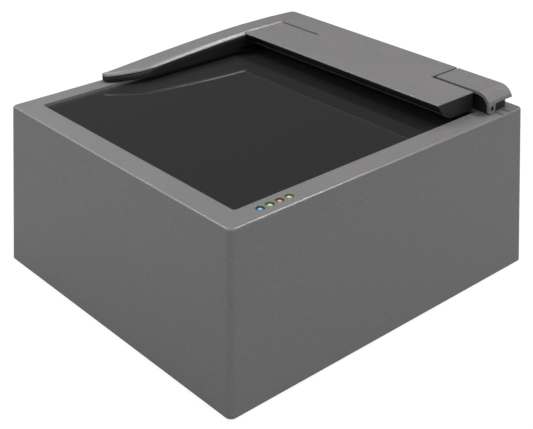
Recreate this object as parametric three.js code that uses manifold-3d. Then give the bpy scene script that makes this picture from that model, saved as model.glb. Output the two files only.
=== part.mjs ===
// Desktop passport scanner with an L-shaped hinged hood.
// Millimetres. +X is the right side, +Y the rear, +Z up. The origin is on the desk under the
// middle of the housing.

import * as THREE from 'three';
import { mergeVertices } from 'three/addons/utils/BufferGeometryUtils.js';
import Module from 'manifold-3d';

const wasm = await Module();
wasm.setup();

// Housing: one moulded shell, open at the bottom
const TOP_WIDTH = 172;
const TOP_DEPTH = 194;
const BODY_HEIGHT = 90;
const DRAFT_ANGLE = 4.3;
const CORNER_RADIUS = 3.2;
const TOP_EDGE_RADIUS = 0.9;
const BOTTOM_EDGE_CHAMFER = 0.5;
const WALL = 2.8;
const TOP_THICKNESS = 3.2;
const FOOT_STAND = 0.8;

// Document recess with the glass in its floor
const STRIP_LEFT = 10;
const STRIP_RIGHT = 12.3;
const STRIP_FRONT = 12.6;
const STRIP_REAR = 20.5;
const RECESS_CORNER = 1.5;
const RECESS_DEPTH = 2.2;
const GLASS_THICKNESS = 4;
const GLASS_CHAMFER = 0.4;
const GASKET_WIDTH = 0.8;
const GASKET_BED = 0.6;
const GASKET_DROP = 0.5;
const LEDGE_WIDTH = 5;
const LEDGE_THICKNESS = 2.5;
const POCKET_WALL = 2.4;
const EDGE_GROOVE_WIDTH = 0.8;
const EDGE_GROOVE_DEPTH = 0.5;
const EDGE_GROOVE_LENGTH = 6;
const EDGE_GROOVES_FROM_REAR = [10.1, 15.9];

// Clearances
const SEAT = 0.2;
const PLAY = 0.3;
const PLATE_GAP = 0.4;

// Status lights in the right strip
const LIGHT_COUNT = 4;
const LIGHT_RADIUS = 2.2;
const LIGHT_PITCH = 5.5;
const LIGHT_FROM_SIDE = 6.7;
const LIGHT_FROM_FRONT = 22.1;
const LIGHT_RECESS = 0.4;
const LIGHT_FLANGE = 0.6;
const LIGHT_FLANGE_THICKNESS = 1;
const LIGHT_PIPE_LENGTH = 8.5;
const LIGHT_BOARD_WIDTH = 6;
const LIGHT_BOARD_MARGIN = 5;

// Base plate, feet and screws
const PLATE_THICKNESS = 2.2;
const PLATE_LIFT = 0.4;
const BOSS_INSET = 5.5;
const BOSS_RADIUS = 4;
const BOSS_TOP = 45;
const SCREW_RADIUS = 1.2;
const SCREW_LENGTH = 12;
const SCREW_HEAD_RADIUS = 2.6;
const SCREW_HEAD_HEIGHT = 1.4;
const SCREW_CROSS = 0.6;
const FOOT_INSET = 21;
const FOOT_RADIUS = 7;
const FOOT_PAD = 1.6;
const FOOT_STEM = 2;
const FOOT_HEAD = 3;
const VENT_WIDTH = 2.6;
const VENT_LENGTH = 26;
const VENT_PITCH = 6;
const VENT_COUNT = 6;
const VENT_OFFSET = 38;

// Boards and sockets
const BOARD_THICKNESS = 1.6;
const MAIN_BOARD_GAP = 1.5;
const MAIN_BOARD_DEPTH = 54;
const MAIN_BOARD_REAR_GAP = 6;
const PILLAR_RADIUS = 3;
const PILLAR_HEIGHT = 4.4;
const PILLAR_INSET = 6;
const STAKE_RADIUS = 1.3;
const PROCESSOR = 17;
const PROCESSOR_HEIGHT = 1.8;
const MEMORY = 12;
const MEMORY_HEIGHT = 1.4;
const COIL = 12;
const COIL_HEIGHT = 6;
const BOARD_PLUG = 20;
const BOARD_PLUG_DEPTH = 6;
const BOARD_PLUG_HEIGHT = 5;
const CAPACITOR_RADIUS = 4;
const CAPACITOR_HEIGHT = 9;
const USB_WIDTH = 12;
const USB_HEIGHT = 11;
const USB_DEPTH = 16;
const USB_MOUTH_WIDTH = 8.4;
const USB_MOUTH_HEIGHT = 7.8;
const USB_MOUTH_DEPTH = 9;
const USB_TONGUE_WIDTH = 5.6;
const USB_TONGUE_HEIGHT = 3.2;
const USB_X = -30;
const POWER_WIDTH = 9;
const POWER_HEIGHT = 11;
const POWER_DEPTH = 14;
const POWER_BORE = 3.2;
const POWER_PIN = 1;
const POWER_X = 30;
const SOCKET_INSET = 0.8;

// Light tunnel, camera and lamps under the glass
const TUNNEL_WALL = 1.8;
const TUNNEL_FLANGE = 6.5;
const TUNNEL_FLANGE_THICKNESS = 1.6;
const TUNNEL_FOOT_HALF = 17;
const TUNNEL_FOOT_Z = 26;
const ANTENNA_THICKNESS = 1;
const CAMERA_BOARD = 34;
const CAMERA_BOARD_Z = 14;
const LENS_MOUNT = 16;
const LENS_MOUNT_HEIGHT = 7;
const LENS_RADIUS = 6;
const LENS_LENGTH = 9;
const LENS_GLASS_RADIUS = 4.2;
const LAMP_LENGTH = 84;
const LAMP_WIDTH = 7;
const LAMP_THICKNESS = 1.2;
const LAMP_CHIPS = 6;
const LAMP_CHIP = 3;
const LAMP_CHIP_HEIGHT = 1;
const LAMP_DOWN = 12;

// Hood: a wide arm along the rear and a narrow arm along the left side
const HOOD_RISE = 10.3;
const HOOD_GAP = 0.6;
const HOOD_LEFT_INSET = 3;
const HOOD_REAR_INSET = 1.5;
const HOOD_RIGHT_INSET = 14;
const WIDE_ARM_DEPTH = 49.5;
const LIP_HEIGHT = 0.5;
const LEAD_IN_DEPTH = 13;
const NARROW_ARM_WIDTH = 13.5;
const NARROW_ARM_REACH = 139;
const RIM_STEP = 0.55;
const TIP_HEIGHT = 4.8;
const ARM_STATIONS = [0, 0.02, 0.05, 0.09, 0.14, 0.2, 0.28, 0.37, 0.47, 0.58, 0.7, 0.84, 1, 1.4, 1.9,
  2.6, 3.4];
const TIP_WIDTH = 1.2;
const TIP_ROUND = 24;
const TIP_POWER = 1.6;
const FALL_RUN = 97;
const FALL_POWER = 1.4;
const ARM_EDGE_RADIUS = 2.5;
const ARM_OUTER_RADIUS = 1.2;
const HOOD_CORNER_RADIUS = 7;
const REAR_EDGE_RADIUS = 2;
const RIM_DEPTH = 20.5;
const RIM_LENGTH = 42.5;
const RIM_RAMP = 3.8;
const RIM_SLOT_WIDTH = 0.9;
const RIM_SLOT_DEPTH = 0.5;
const RIM_SLOT_END = 2.8;
const CAP_THICKNESS = 1.6;
const CAP_SEAM = 0.25;
const SLOT_CLEARANCE = 2.6;
const END_WALL = 1.9;
const TRAY_WALL = 2;
const BUMPER_RADIUS = 2.4;
const BUMPER_DEPTH = 1.2;
const CAP_BOSS_RADIUS = 2.8;
const HOOD_SCREW_SIDE = 12;
const HOOD_SCREW_FRONT = 14;
const HOOD_SCREW_REAR = 6;
const HOOD_SCREW_LENGTH = 4.6;
const BUMPER_PLACES = [16, 80];

// Hinge at the rear right
const HINGE_COVER_LENGTH = 35.5;
const HINGE_COVER_RIGHT_INSET = 4.8;
const HINGE_COVER_DEPTH = 18.6;
const HINGE_COVER_REAR_INSET = 3.2;
const HINGE_COVER_SHEET = 1.6;
const HINGE_END_RADIUS = 8;
const HINGE_LEG_WIDTH = 4.6;
const HINGE_NOTCH_TOP = 5;
const HINGE_NOTCH_RADIUS = 1.2;
const SEAM_FRONT = 1.3;
const SEAM_SIDE = 1;
const NOTCH_CORNER_RADIUS = 2;
const SHAFT_RADIUS = 1.8;
const SHAFT_LENGTH = 96;
const SLEEVE_WALL = 0.6;
const SLEEVE_LENGTH = 24;
const BUSH_LENGTH = 12;
const RUNNING_FIT = 0.1;
const BLOCK_RIGHT_DEPTH = 14.2;
const BLOCK_STEP = 9.5;
const LEG_SCREW_RADIUS = 1.1;

// Materials
const paint = { color: 0x7d7d7c, roughness: 0.55, metalness: 0.0 };
const blackPlastic = { color: 0x141414, roughness: 0.45, metalness: 0.0 };
const darkGlass = { color: 0x1b1c1e, roughness: 0.08, metalness: 0.0 };
const rubber = { color: 0x0c0c0c, roughness: 0.8, metalness: 0.0 };
const steel = { color: 0xb4b6b8, roughness: 0.3, metalness: 1.0 };
const circuitBoard = { color: 0x1d4a2c, roughness: 0.5, metalness: 0.0 };
const lensGlass = { color: 0x223044, roughness: 0.05, metalness: 0.0 };
const lightColors = [0x2f8fc4, 0x6fbf57, 0xc2602f, 0x6fbf57];

const DEGREE = Math.PI / 180;
const SMALL_STEPS = 16;
const SCREW_STEPS = 12;
const CORNER_STEPS = 4;
const FOOT_STEPS = 20;

// Geometry to solid and back
function solid(geometry) {
  const bare = new THREE.BufferGeometry();
  bare.setAttribute('position', geometry.getAttribute('position').clone());
  if (geometry.index) bare.setIndex(geometry.index.clone());
  const merged = mergeVertices(bare, 1e-4);
  return new wasm.Manifold(new wasm.Mesh({
    numProp: 3,
    vertProperties: new Float32Array(merged.getAttribute('position').array),
    triVerts: new Uint32Array(merged.index.array),
  }));
}

function geometryOf(body) {
  const mesh = body.getMesh();
  const geometry = new THREE.BufferGeometry();
  geometry.setAttribute('position', new THREE.BufferAttribute(mesh.vertProperties, 3));
  geometry.setIndex(new THREE.BufferAttribute(mesh.triVerts, 1));
  geometry.computeVertexNormals();
  return geometry;
}

function join(...bodies) {
  return bodies.reduce((sum, body) => sum.add(body));
}

function cut(body, ...tools) {
  return tools.reduce((rest, tool) => rest.subtract(tool), body);
}

// A box between two corners
function box(x0, x1, y0, y1, z0, z1) {
  const geometry = new THREE.BoxGeometry(x1 - x0, y1 - y0, z1 - z0);
  geometry.translate((x0 + x1) / 2, (y0 + y1) / 2, (z0 + z1) / 2);
  return solid(geometry);
}

// A profile of [radius, height] pairs turned round a vertical axis at x, y
function turned(profile, x, y, z, steps = SMALL_STEPS) {
  const geometry = new THREE.LatheGeometry(profile.map(([r, h]) => new THREE.Vector2(r, h)), steps);
  geometry.rotateX(Math.PI / 2);
  geometry.translate(x, y, z);
  return solid(geometry);
}

function post(radius, x, y, z0, z1, steps = SMALL_STEPS) {
  return turned([[0, 0], [radius, 0], [radius, z1 - z0], [0, z1 - z0]], x, y, z0, steps);
}

// A profile of [radius, distance] pairs turned round a line along X at y, z
function turnedAlongX(profile, x, y, z, steps = SMALL_STEPS) {
  const geometry = new THREE.LatheGeometry(profile.map(([r, h]) => new THREE.Vector2(r, h)), steps);
  geometry.rotateZ(-Math.PI / 2);
  geometry.translate(x, y, z);
  return solid(geometry);
}

function rod(radius, x0, x1, y, z, steps = SMALL_STEPS) {
  return turnedAlongX([[0, 0], [radius, 0], [radius, x1 - x0], [0, x1 - x0]], x0, y, z, steps);
}

// A plan outline raised from z0 to z1
function raised(shape, z0, z1, curveSegments = CORNER_STEPS) {
  const geometry = new THREE.ExtrudeGeometry(shape, {
    depth: z1 - z0, bevelEnabled: false, curveSegments,
  });
  geometry.translate(0, 0, z0);
  return solid(geometry);
}

// A section drawn in Y (across) and Z (up), drawn out along X
function alongX(shape, x0, x1, curveSegments = 8) {
  const geometry = new THREE.ExtrudeGeometry(shape, {
    depth: x1 - x0, bevelEnabled: false, curveSegments,
  });
  geometry.rotateY(Math.PI / 2);
  geometry.rotateX(Math.PI / 2);
  geometry.translate(x0, 0, 0);
  return solid(geometry);
}

// A section drawn in X (across) and Z (up), drawn out along Y
function alongY(shape, y0, y1, curveSegments = 8) {
  const geometry = new THREE.ExtrudeGeometry(shape, {
    depth: y1 - y0, bevelEnabled: false, curveSegments,
  });
  geometry.rotateX(Math.PI / 2);
  geometry.translate(0, y1, 0);
  return solid(geometry);
}

function roundedRect(x0, x1, y0, y1, radius) {
  const shape = new THREE.Shape();
  shape.moveTo(x0 + radius, y0);
  shape.lineTo(x1 - radius, y0);
  shape.absarc(x1 - radius, y0 + radius, radius, -Math.PI / 2, 0);
  shape.lineTo(x1, y1 - radius);
  shape.absarc(x1 - radius, y1 - radius, radius, 0, Math.PI / 2);
  shape.lineTo(x0 + radius, y1);
  shape.absarc(x0 + radius, y1 - radius, radius, Math.PI / 2, Math.PI);
  shape.lineTo(x0, y0 + radius);
  shape.absarc(x0 + radius, y0 + radius, radius, Math.PI, 1.5 * Math.PI);
  return shape;
}

// Skin through a row of convex rings with the same number of points, each ring turning
// counterclockwise when seen from the next one
function loft(rings) {
  const count = rings[0].length;
  const last = (rings.length - 1) * count;
  const index = [];
  for (let ring = 0; ring < rings.length - 1; ring += 1) {
    for (let i = 0; i < count; i += 1) {
      const a = ring * count + i;
      const b = ring * count + ((i + 1) % count);
      index.push(a, b, b + count, a, b + count, a + count);
    }
  }
  for (let i = 1; i < count - 1; i += 1) {
    index.push(0, i + 1, i, last, last + i, last + i + 1);
  }
  const geometry = new THREE.BufferGeometry();
  const points = rings.flat().flatMap((point) => point.toArray());
  geometry.setAttribute('position', new THREE.BufferAttribute(new Float32Array(points), 3));
  geometry.setIndex(index);
  return solid(geometry);
}

// Ring of a rounded rectangle at one height
function ringAt(z, x0, x1, y0, y1, radius) {
  const points = roundedRect(x0, x1, y0, y1, radius).getPoints(CORNER_STEPS);
  const first = points[0];
  const open = points.filter((point, i) => i === 0 || point.distanceTo(first) > 1e-6);
  return open.map((point) => new THREE.Vector3(point.x, point.y, z));
}

const model = new THREE.Group();

function add(name, body, finish, group = model) {
  const mesh = new THREE.Mesh(geometryOf(body), new THREE.MeshStandardMaterial(finish));
  mesh.name = name;
  group.add(mesh);
  return mesh;
}

// Places worked out from the driving sizes
const halfWidth = TOP_WIDTH / 2;
const halfDepth = TOP_DEPTH / 2;
const top = BODY_HEIGHT;
const draftSlope = Math.tan(DRAFT_ANGLE * DEGREE);
const spread = (z) => (top - z) * draftSlope;

const recess = {
  x0: -halfWidth + STRIP_LEFT,
  x1: halfWidth - STRIP_RIGHT,
  y0: -halfDepth + STRIP_FRONT,
  y1: halfDepth - STRIP_REAR,
};
const glassTop = top - RECESS_DEPTH;
const glassBottom = glassTop - GLASS_THICKNESS;
const ledgeTop = glassBottom - GASKET_BED;
const ledgeBottom = ledgeTop - LEDGE_THICKNESS;
const opening = {
  x0: recess.x0 + LEDGE_WIDTH,
  x1: recess.x1 - LEDGE_WIDTH,
  y0: recess.y0 + LEDGE_WIDTH,
  y1: recess.y1 - LEDGE_WIDTH,
};

function grown(area, by, z0, z1, radius) {
  return raised(roundedRect(area.x0 - by, area.x1 + by, area.y0 - by, area.y1 + by, radius), z0, z1);
}

// Housing
const plateBottom = FOOT_STAND + PLATE_LIFT;
const plateTop = plateBottom + PLATE_THICKNESS;
const bossX = halfWidth - BOSS_INSET;
const bossY = halfDepth - BOSS_INSET;
const corners = [[-1, -1], [1, -1], [1, 1], [-1, 1]];
const lightX = halfWidth - LIGHT_FROM_SIDE;
const lightYs = Array.from({ length: LIGHT_COUNT }, (_, i) => (
  -halfDepth + LIGHT_FROM_FRONT + i * LIGHT_PITCH
));
const boardTop = plateTop + PILLAR_HEIGHT + SEAT + BOARD_THICKNESS;
const socketZ = boardTop + SEAT;
const socketMouth = halfDepth + spread(socketZ + USB_HEIGHT) - SOCKET_INSET;

function housingRing(z, inset) {
  const grow = spread(z) - inset;
  const radius = Math.max(CORNER_RADIUS - Math.max(inset, 0), 0.6);
  return ringAt(z, -halfWidth - grow, halfWidth + grow, -halfDepth - grow, halfDepth + grow, radius);
}

function outerShell() {
  const rings = [
    housingRing(FOOT_STAND, BOTTOM_EDGE_CHAMFER),
    housingRing(FOOT_STAND + BOTTOM_EDGE_CHAMFER, 0),
  ];
  for (let i = 0; i <= 3; i += 1) {
    const angle = (i / 3) * 90 * DEGREE;
    const inset = TOP_EDGE_RADIUS * (1 - Math.cos(angle));
    rings.push(housingRing(top - TOP_EDGE_RADIUS + TOP_EDGE_RADIUS * Math.sin(angle), inset));
  }
  return loft(rings);
}

function screwBosses() {
  return corners.map(([sx, sy]) => {
    const x = sx * bossX;
    const y = sy * bossY;
    const reach = BOSS_INSET + spread(BOSS_TOP) - SEAT * 2;
    const webs = [
      box(Math.min(x, x + sx * reach), Math.max(x, x + sx * reach), y - 1, y + 1,
        plateTop + SEAT, BOSS_TOP),
      box(x - 1, x + 1, Math.min(y, y + sy * reach), Math.max(y, y + sy * reach),
        plateTop + SEAT, BOSS_TOP),
    ];
    const bore = post(SCREW_RADIUS + PLAY, x, y, 0, plateTop + SCREW_LENGTH);
    return cut(join(post(BOSS_RADIUS, x, y, plateTop + SEAT, BOSS_TOP), ...webs), bore);
  });
}

function housing() {
  const inside = loft([
    housingRing(-FOOT_STAND, WALL),
    housingRing(top - TOP_THICKNESS, WALL),
  ]);
  const pocket = grown(recess, 0, ledgeTop, top + 1, RECESS_CORNER);
  const pocketWalls = grown(recess, POCKET_WALL, ledgeBottom, top - 1, RECESS_CORNER + POCKET_WALL);
  const lightHoles = lightYs.map((y) => post(LIGHT_RADIUS + SEAT, lightX, y, glassBottom, top + 1));
  const rearWall = [halfDepth - WALL, halfDepth + spread(0) + 1];
  const usbCut = box(USB_X - USB_WIDTH / 2 - PLAY, USB_X + USB_WIDTH / 2 + PLAY, ...rearWall,
    socketZ - PLAY, socketZ + USB_HEIGHT + PLAY);
  const powerCut = box(POWER_X - POWER_WIDTH / 2 - PLAY, POWER_X + POWER_WIDTH / 2 + PLAY,
    ...rearWall, socketZ - PLAY, socketZ + POWER_HEIGHT + PLAY);
  const grooves = EDGE_GROOVES_FROM_REAR.map((inset) => box(halfWidth - EDGE_GROOVE_LENGTH,
    halfWidth + 1, halfDepth - inset - EDGE_GROOVE_WIDTH / 2, halfDepth - inset + EDGE_GROOVE_WIDTH / 2,
    top - EDGE_GROOVE_DEPTH, top + 1));
  const shell = join(cut(outerShell(), inside), pocketWalls, ...screwBosses());
  return cut(shell, pocket, ...grooves, grown(opening, 0, ledgeBottom - 1, top, RECESS_CORNER), ...lightHoles,
    usbCut, powerCut);
}

// Glass and its gasket
function glass() {
  const edge = GASKET_WIDTH + SEAT;
  const low = grown(recess, -edge, glassBottom, glassTop - GLASS_CHAMFER, RECESS_CORNER);
  const rings = [[glassTop - GLASS_CHAMFER, edge], [glassTop, edge + GLASS_CHAMFER]];
  const high = loft(rings.map(([z, inset]) => ringAt(z, recess.x0 + inset, recess.x1 - inset,
    recess.y0 + inset, recess.y1 - inset, RECESS_CORNER)));
  return join(low, high);
}

function gasket() {
  const ring = cut(
    grown(recess, -SEAT / 2, ledgeTop + SEAT / 2, glassTop - GASKET_DROP, RECESS_CORNER),
    grown(recess, -GASKET_WIDTH, glassBottom - SEAT / 2, top, RECESS_CORNER),
  );
  return cut(ring, grown(opening, 0, ledgeTop - 1, top, RECESS_CORNER));
}

// Status lights: a light pipe for each, over one small board
const pipeFoot = top - LIGHT_PIPE_LENGTH;

function lightPipe(y) {
  const flange = top - TOP_THICKNESS - SEAT;
  const pipe = post(LIGHT_RADIUS, lightX, y, pipeFoot, top - LIGHT_RECESS);
  const collar = post(LIGHT_RADIUS + LIGHT_FLANGE - PLAY, lightX, y, flange - LIGHT_FLANGE_THICKNESS,
    flange);
  return join(pipe, collar);
}

function lightBoard() {
  const boardZ = pipeFoot - SEAT - LAMP_CHIP_HEIGHT;
  const y0 = lightYs[0] - LIGHT_BOARD_MARGIN;
  const y1 = lightYs[LIGHT_COUNT - 1] + LIGHT_BOARD_MARGIN;
  const board = box(lightX - LIGHT_BOARD_WIDTH / 2, lightX + LIGHT_BOARD_WIDTH / 2, y0, y1,
    boardZ - BOARD_THICKNESS, boardZ);
  const chips = lightYs.map((y) => box(lightX - 1, lightX + 1, y - 1, y + 1, boardZ - SEAT,
    boardZ + LAMP_CHIP_HEIGHT));
  return join(board, ...chips);
}

// Screw pointing up, with a countersunk head and a cross slot. z is the underside of the head.
function screw(x, y, z, headRadius, length) {
  const profile = [[0, 0], [headRadius, 0], [SCREW_RADIUS, SCREW_HEAD_HEIGHT],
    [SCREW_RADIUS, length - SCREW_RADIUS], [0, length]];
  const arm = headRadius * 0.6;
  const half = SCREW_CROSS / 2;
  return cut(turned(profile, x, y, z, SCREW_STEPS),
    box(x - arm, x + arm, y - half, y + half, z - 1, z + SCREW_CROSS),
    box(x - half, x + half, y - arm, y + arm, z - 1, z + SCREW_CROSS));
}

// Countersunk hole for that screw
function screwHole(x, y, z, headRadius, length) {
  return turned([[0, -1], [headRadius + SEAT, -1], [headRadius + SEAT, 0],
    [SCREW_RADIUS + PLAY, SCREW_HEAD_HEIGHT], [SCREW_RADIUS + PLAY, length], [0, length]],
  x, y, z, SCREW_STEPS);
}

// Base plate with vents, pillars for the boards and holes for feet and screws
const footX = halfWidth - FOOT_INSET;
const footY = halfDepth - FOOT_INSET;
const plateHalfWidth = halfWidth + spread(plateTop) - WALL - PLATE_GAP;
const plateHalfDepth = halfDepth + spread(plateTop) - WALL - PLATE_GAP;
const mainBoard = {
  x0: -bossX + BOSS_RADIUS + MAIN_BOARD_GAP,
  x1: bossX - BOSS_RADIUS - MAIN_BOARD_GAP,
  y0: halfDepth - MAIN_BOARD_REAR_GAP - MAIN_BOARD_DEPTH,
  y1: halfDepth - MAIN_BOARD_REAR_GAP,
};
const camera = { x: (opening.x0 + opening.x1) / 2, y: (opening.y0 + opening.y1) / 2 };

function pillarSpots(area) {
  return corners.map(([sx, sy]) => [
    sx < 0 ? area.x0 + PILLAR_INSET : area.x1 - PILLAR_INSET,
    sy < 0 ? area.y0 + PILLAR_INSET : area.y1 - PILLAR_INSET,
  ]);
}

const cameraBoard = {
  x0: camera.x - CAMERA_BOARD / 2,
  x1: camera.x + CAMERA_BOARD / 2,
  y0: camera.y - CAMERA_BOARD / 2,
  y1: camera.y + CAMERA_BOARD / 2,
};

function pillars(area, underside) {
  return pillarSpots(area).map(([x, y]) => turned([[0, 0], [PILLAR_RADIUS, 0],
    [PILLAR_RADIUS, underside - SEAT - plateTop + 1], [STAKE_RADIUS, underside - SEAT - plateTop + 1],
    [STAKE_RADIUS, underside + BOARD_THICKNESS + 1 - plateTop + 1],
    [0, underside + BOARD_THICKNESS + 1 - plateTop + 1]], x, y, plateTop - 1, SCREW_STEPS));
}

function stakeHoles(area, underside) {
  return pillarSpots(area).map(([x, y]) => post(STAKE_RADIUS + PLAY, x, y, underside - 1,
    underside + BOARD_THICKNESS + 1, SCREW_STEPS));
}

function basePlate() {
  const plate = raised(roundedRect(-plateHalfWidth, plateHalfWidth, -plateHalfDepth, plateHalfDepth,
    CORNER_RADIUS / 2), plateBottom, plateTop);
  const vents = [];
  for (const bank of [-1, 1]) {
    for (let i = 0; i < VENT_COUNT; i += 1) {
      const x = bank * VENT_OFFSET + (i - (VENT_COUNT - 1) / 2) * VENT_PITCH;
      vents.push(raised(roundedRect(x - VENT_WIDTH / 2, x + VENT_WIDTH / 2, -VENT_LENGTH / 2 - footY / 2,
        VENT_LENGTH / 2 - footY / 2, VENT_WIDTH / 2 - 0.05), 0, plateTop + 1, 2));
    }
  }
  const screws = corners.map(([sx, sy]) => screwHole(sx * bossX, sy * bossY, plateBottom,
    SCREW_HEAD_RADIUS, SCREW_LENGTH));
  const feet = corners.flatMap(([sx, sy]) => [
    post(FOOT_RADIUS + SEAT, sx * footX, sy * footY, 0, FOOT_PAD + SEAT, FOOT_STEPS),
    post(FOOT_STEM + SEAT, sx * footX, sy * footY, 0, plateTop + 1, SCREW_STEPS),
  ]);
  return cut(join(plate, ...pillars(mainBoard, boardTop - BOARD_THICKNESS),
    ...pillars(cameraBoard, CAMERA_BOARD_Z)), ...vents, ...screws, ...feet);
}

// Rubber foot: a pad, a stem through the plate and a snap head above it
function foot(x, y) {
  const neck = plateTop + SEAT;
  return turned([[0, 0], [FOOT_RADIUS - 0.5, 0], [FOOT_RADIUS, 0.5], [FOOT_RADIUS, FOOT_PAD],
    [FOOT_STEM, FOOT_PAD], [FOOT_STEM, neck], [FOOT_HEAD, neck], [FOOT_STEM, neck + 1.6],
    [0, neck + 1.6]], x, y, 0, FOOT_STEPS);
}

// Boards
function mainBoardBody() {
  const { x0, x1, y0, y1 } = mainBoard;
  const z0 = boardTop - BOARD_THICKNESS;
  const middle = (y0 + y1) / 2;
  const chip = (share, back, w, d, h) => box(share * x1 - w / 2, share * x1 + w / 2,
    middle - back - d / 2, middle - back + d / 2, boardTop - SEAT, boardTop + h);
  const parts = [
    chip(0, 0, PROCESSOR, PROCESSOR, PROCESSOR_HEIGHT),
    chip(-0.35, MEMORY / 2, MEMORY, MEMORY, MEMORY_HEIGHT),
    chip(0.4, COIL, COIL, COIL, COIL_HEIGHT),
    chip(-0.72, MEMORY / 2, BOARD_PLUG, BOARD_PLUG_DEPTH, BOARD_PLUG_HEIGHT),
    ...[0.1, 0.66].map((share) => post(CAPACITOR_RADIUS, share * x1, middle + COIL,
      boardTop - SEAT, boardTop + CAPACITOR_HEIGHT)),
  ];
  return cut(join(box(x0, x1, y0, y1, z0, boardTop), ...parts), ...stakeHoles(mainBoard, z0));
}

function usbSocket() {
  const x0 = USB_X - USB_WIDTH / 2;
  const y1 = socketMouth;
  const z = socketZ + USB_HEIGHT / 2;
  const halfMouth = USB_MOUTH_WIDTH / 2;
  const halfHigh = USB_MOUTH_HEIGHT / 2;
  const chamfer = 1.6;
  const mouth = new THREE.Shape([
    new THREE.Vector2(USB_X - halfMouth, z - halfHigh),
    new THREE.Vector2(USB_X + halfMouth, z - halfHigh),
    new THREE.Vector2(USB_X + halfMouth, z + halfHigh - chamfer),
    new THREE.Vector2(USB_X + halfMouth - chamfer, z + halfHigh),
    new THREE.Vector2(USB_X - halfMouth + chamfer, z + halfHigh),
    new THREE.Vector2(USB_X - halfMouth, z + halfHigh - chamfer),
  ]);
  const shell = cut(box(x0, x0 + USB_WIDTH, y1 - USB_DEPTH, y1, socketZ, socketZ + USB_HEIGHT),
    alongY(mouth, y1 - USB_MOUTH_DEPTH, y1 + 1));
  const tongue = box(USB_X - USB_TONGUE_WIDTH / 2, USB_X + USB_TONGUE_WIDTH / 2,
    y1 - USB_MOUTH_DEPTH - 1, y1 - 1, z - USB_TONGUE_HEIGHT / 2, z + USB_TONGUE_HEIGHT / 2);
  return join(shell, tongue);
}

function powerSocket() {
  const y1 = socketMouth;
  const z = socketZ + POWER_HEIGHT / 2;
  const bore = new THREE.Shape().absarc(POWER_X, z, POWER_BORE, 0, 2 * Math.PI);
  const pin = new THREE.Shape().absarc(POWER_X, z, POWER_PIN, 0, 2 * Math.PI);
  const block = box(POWER_X - POWER_WIDTH / 2, POWER_X + POWER_WIDTH / 2, y1 - POWER_DEPTH, y1,
    socketZ, socketZ + POWER_HEIGHT);
  return join(cut(block, alongY(bore, y1 - USB_MOUTH_DEPTH, y1 + 1)),
    alongY(pin, y1 - USB_MOUTH_DEPTH - 1, y1 - 1));
}

// Light tunnel from the camera up to the glass
const flangeTop = ledgeBottom - SEAT;

function tunnelArea(z, by) {
  const t = (z - TUNNEL_FOOT_Z) / (flangeTop - TUNNEL_FOOT_Z);
  const at = (foot0, head0) => foot0 + (head0 - foot0) * t;
  return {
    x0: at(camera.x - TUNNEL_FOOT_HALF, opening.x0) - by,
    x1: at(camera.x + TUNNEL_FOOT_HALF, opening.x1) + by,
    y0: at(camera.y - TUNNEL_FOOT_HALF, opening.y0) - by,
    y1: at(camera.y + TUNNEL_FOOT_HALF, opening.y1) + by,
  };
}

function tunnelRing(z, by) {
  const area = tunnelArea(z, by);
  return ringAt(z, area.x0, area.x1, area.y0, area.y1, RECESS_CORNER);
}

function lightTunnel() {
  const outside = loft([tunnelRing(TUNNEL_FOOT_Z, TUNNEL_WALL), tunnelRing(flangeTop, TUNNEL_WALL)]);
  const flange = grown(opening, TUNNEL_FLANGE, flangeTop - TUNNEL_FLANGE_THICKNESS, flangeTop,
    RECESS_CORNER);
  const inside = loft([tunnelRing(TUNNEL_FOOT_Z - 1, 0), tunnelRing(flangeTop + 1, 0)]);
  return cut(join(outside, flange), inside);
}

function antennaBoard() {
  const z1 = flangeTop - TUNNEL_FLANGE_THICKNESS - SEAT;
  return cut(grown(opening, TUNNEL_FLANGE, z1 - ANTENNA_THICKNESS, z1, RECESS_CORNER),
    grown(opening, TUNNEL_WALL + PLAY, z1 - ANTENNA_THICKNESS - 1, z1 + 1, RECESS_CORNER));
}

// Lamp bar lying on a sloping tunnel wall, with its chips towards the middle
function lampBody() {
  const half = LAMP_LENGTH / 2;
  const bar = box(-half, half, -LAMP_WIDTH / 2, LAMP_WIDTH / 2, 0, LAMP_THICKNESS);
  const chips = Array.from({ length: LAMP_CHIPS }, (_, i) => {
    const x = (i - (LAMP_CHIPS - 1) / 2) * (LAMP_LENGTH / LAMP_CHIPS);
    return box(x - LAMP_CHIP / 2, x + LAMP_CHIP / 2, -LAMP_CHIP / 2, LAMP_CHIP / 2,
      LAMP_THICKNESS - SEAT, LAMP_THICKNESS + LAMP_CHIP_HEIGHT);
  });
  return join(bar, ...chips);
}

function addLamp(name, side) {
  const z = flangeTop - LAMP_DOWN;
  const at = tunnelArea(z, 0);
  const below = tunnelArea(z - 1, 0);
  const spots = {
    left: [at.x0, camera.y, below.x0 - at.x0, -90],
    right: [at.x1, camera.y, at.x1 - below.x1, 90],
    front: [camera.x, at.y0, below.y0 - at.y0, 0],
    rear: [camera.x, at.y1, at.y1 - below.y1, 180],
  };
  const [x, y, run, turn] = spots[side];
  const slope = Math.atan2(1, run);
  const stand = new THREE.Group();
  stand.position.set(x, y, z);
  stand.rotation.z = turn * DEGREE;
  const lamp = add(name, lampBody(), circuitBoard, stand);
  lamp.rotation.x = -slope;
  lamp.position.set(0, Math.sin(slope) * PLAY, Math.cos(slope) * PLAY);
  model.add(stand);
}

// Camera
function cameraBoardBody() {
  const { x0, x1, y0, y1 } = cameraBoard;
  return cut(box(x0, x1, y0, y1, CAMERA_BOARD_Z, CAMERA_BOARD_Z + BOARD_THICKNESS),
    ...stakeHoles(cameraBoard, CAMERA_BOARD_Z));
}

const mountZ = CAMERA_BOARD_Z + BOARD_THICKNESS + SEAT;
const lensZ = mountZ + LENS_MOUNT_HEIGHT;

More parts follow.
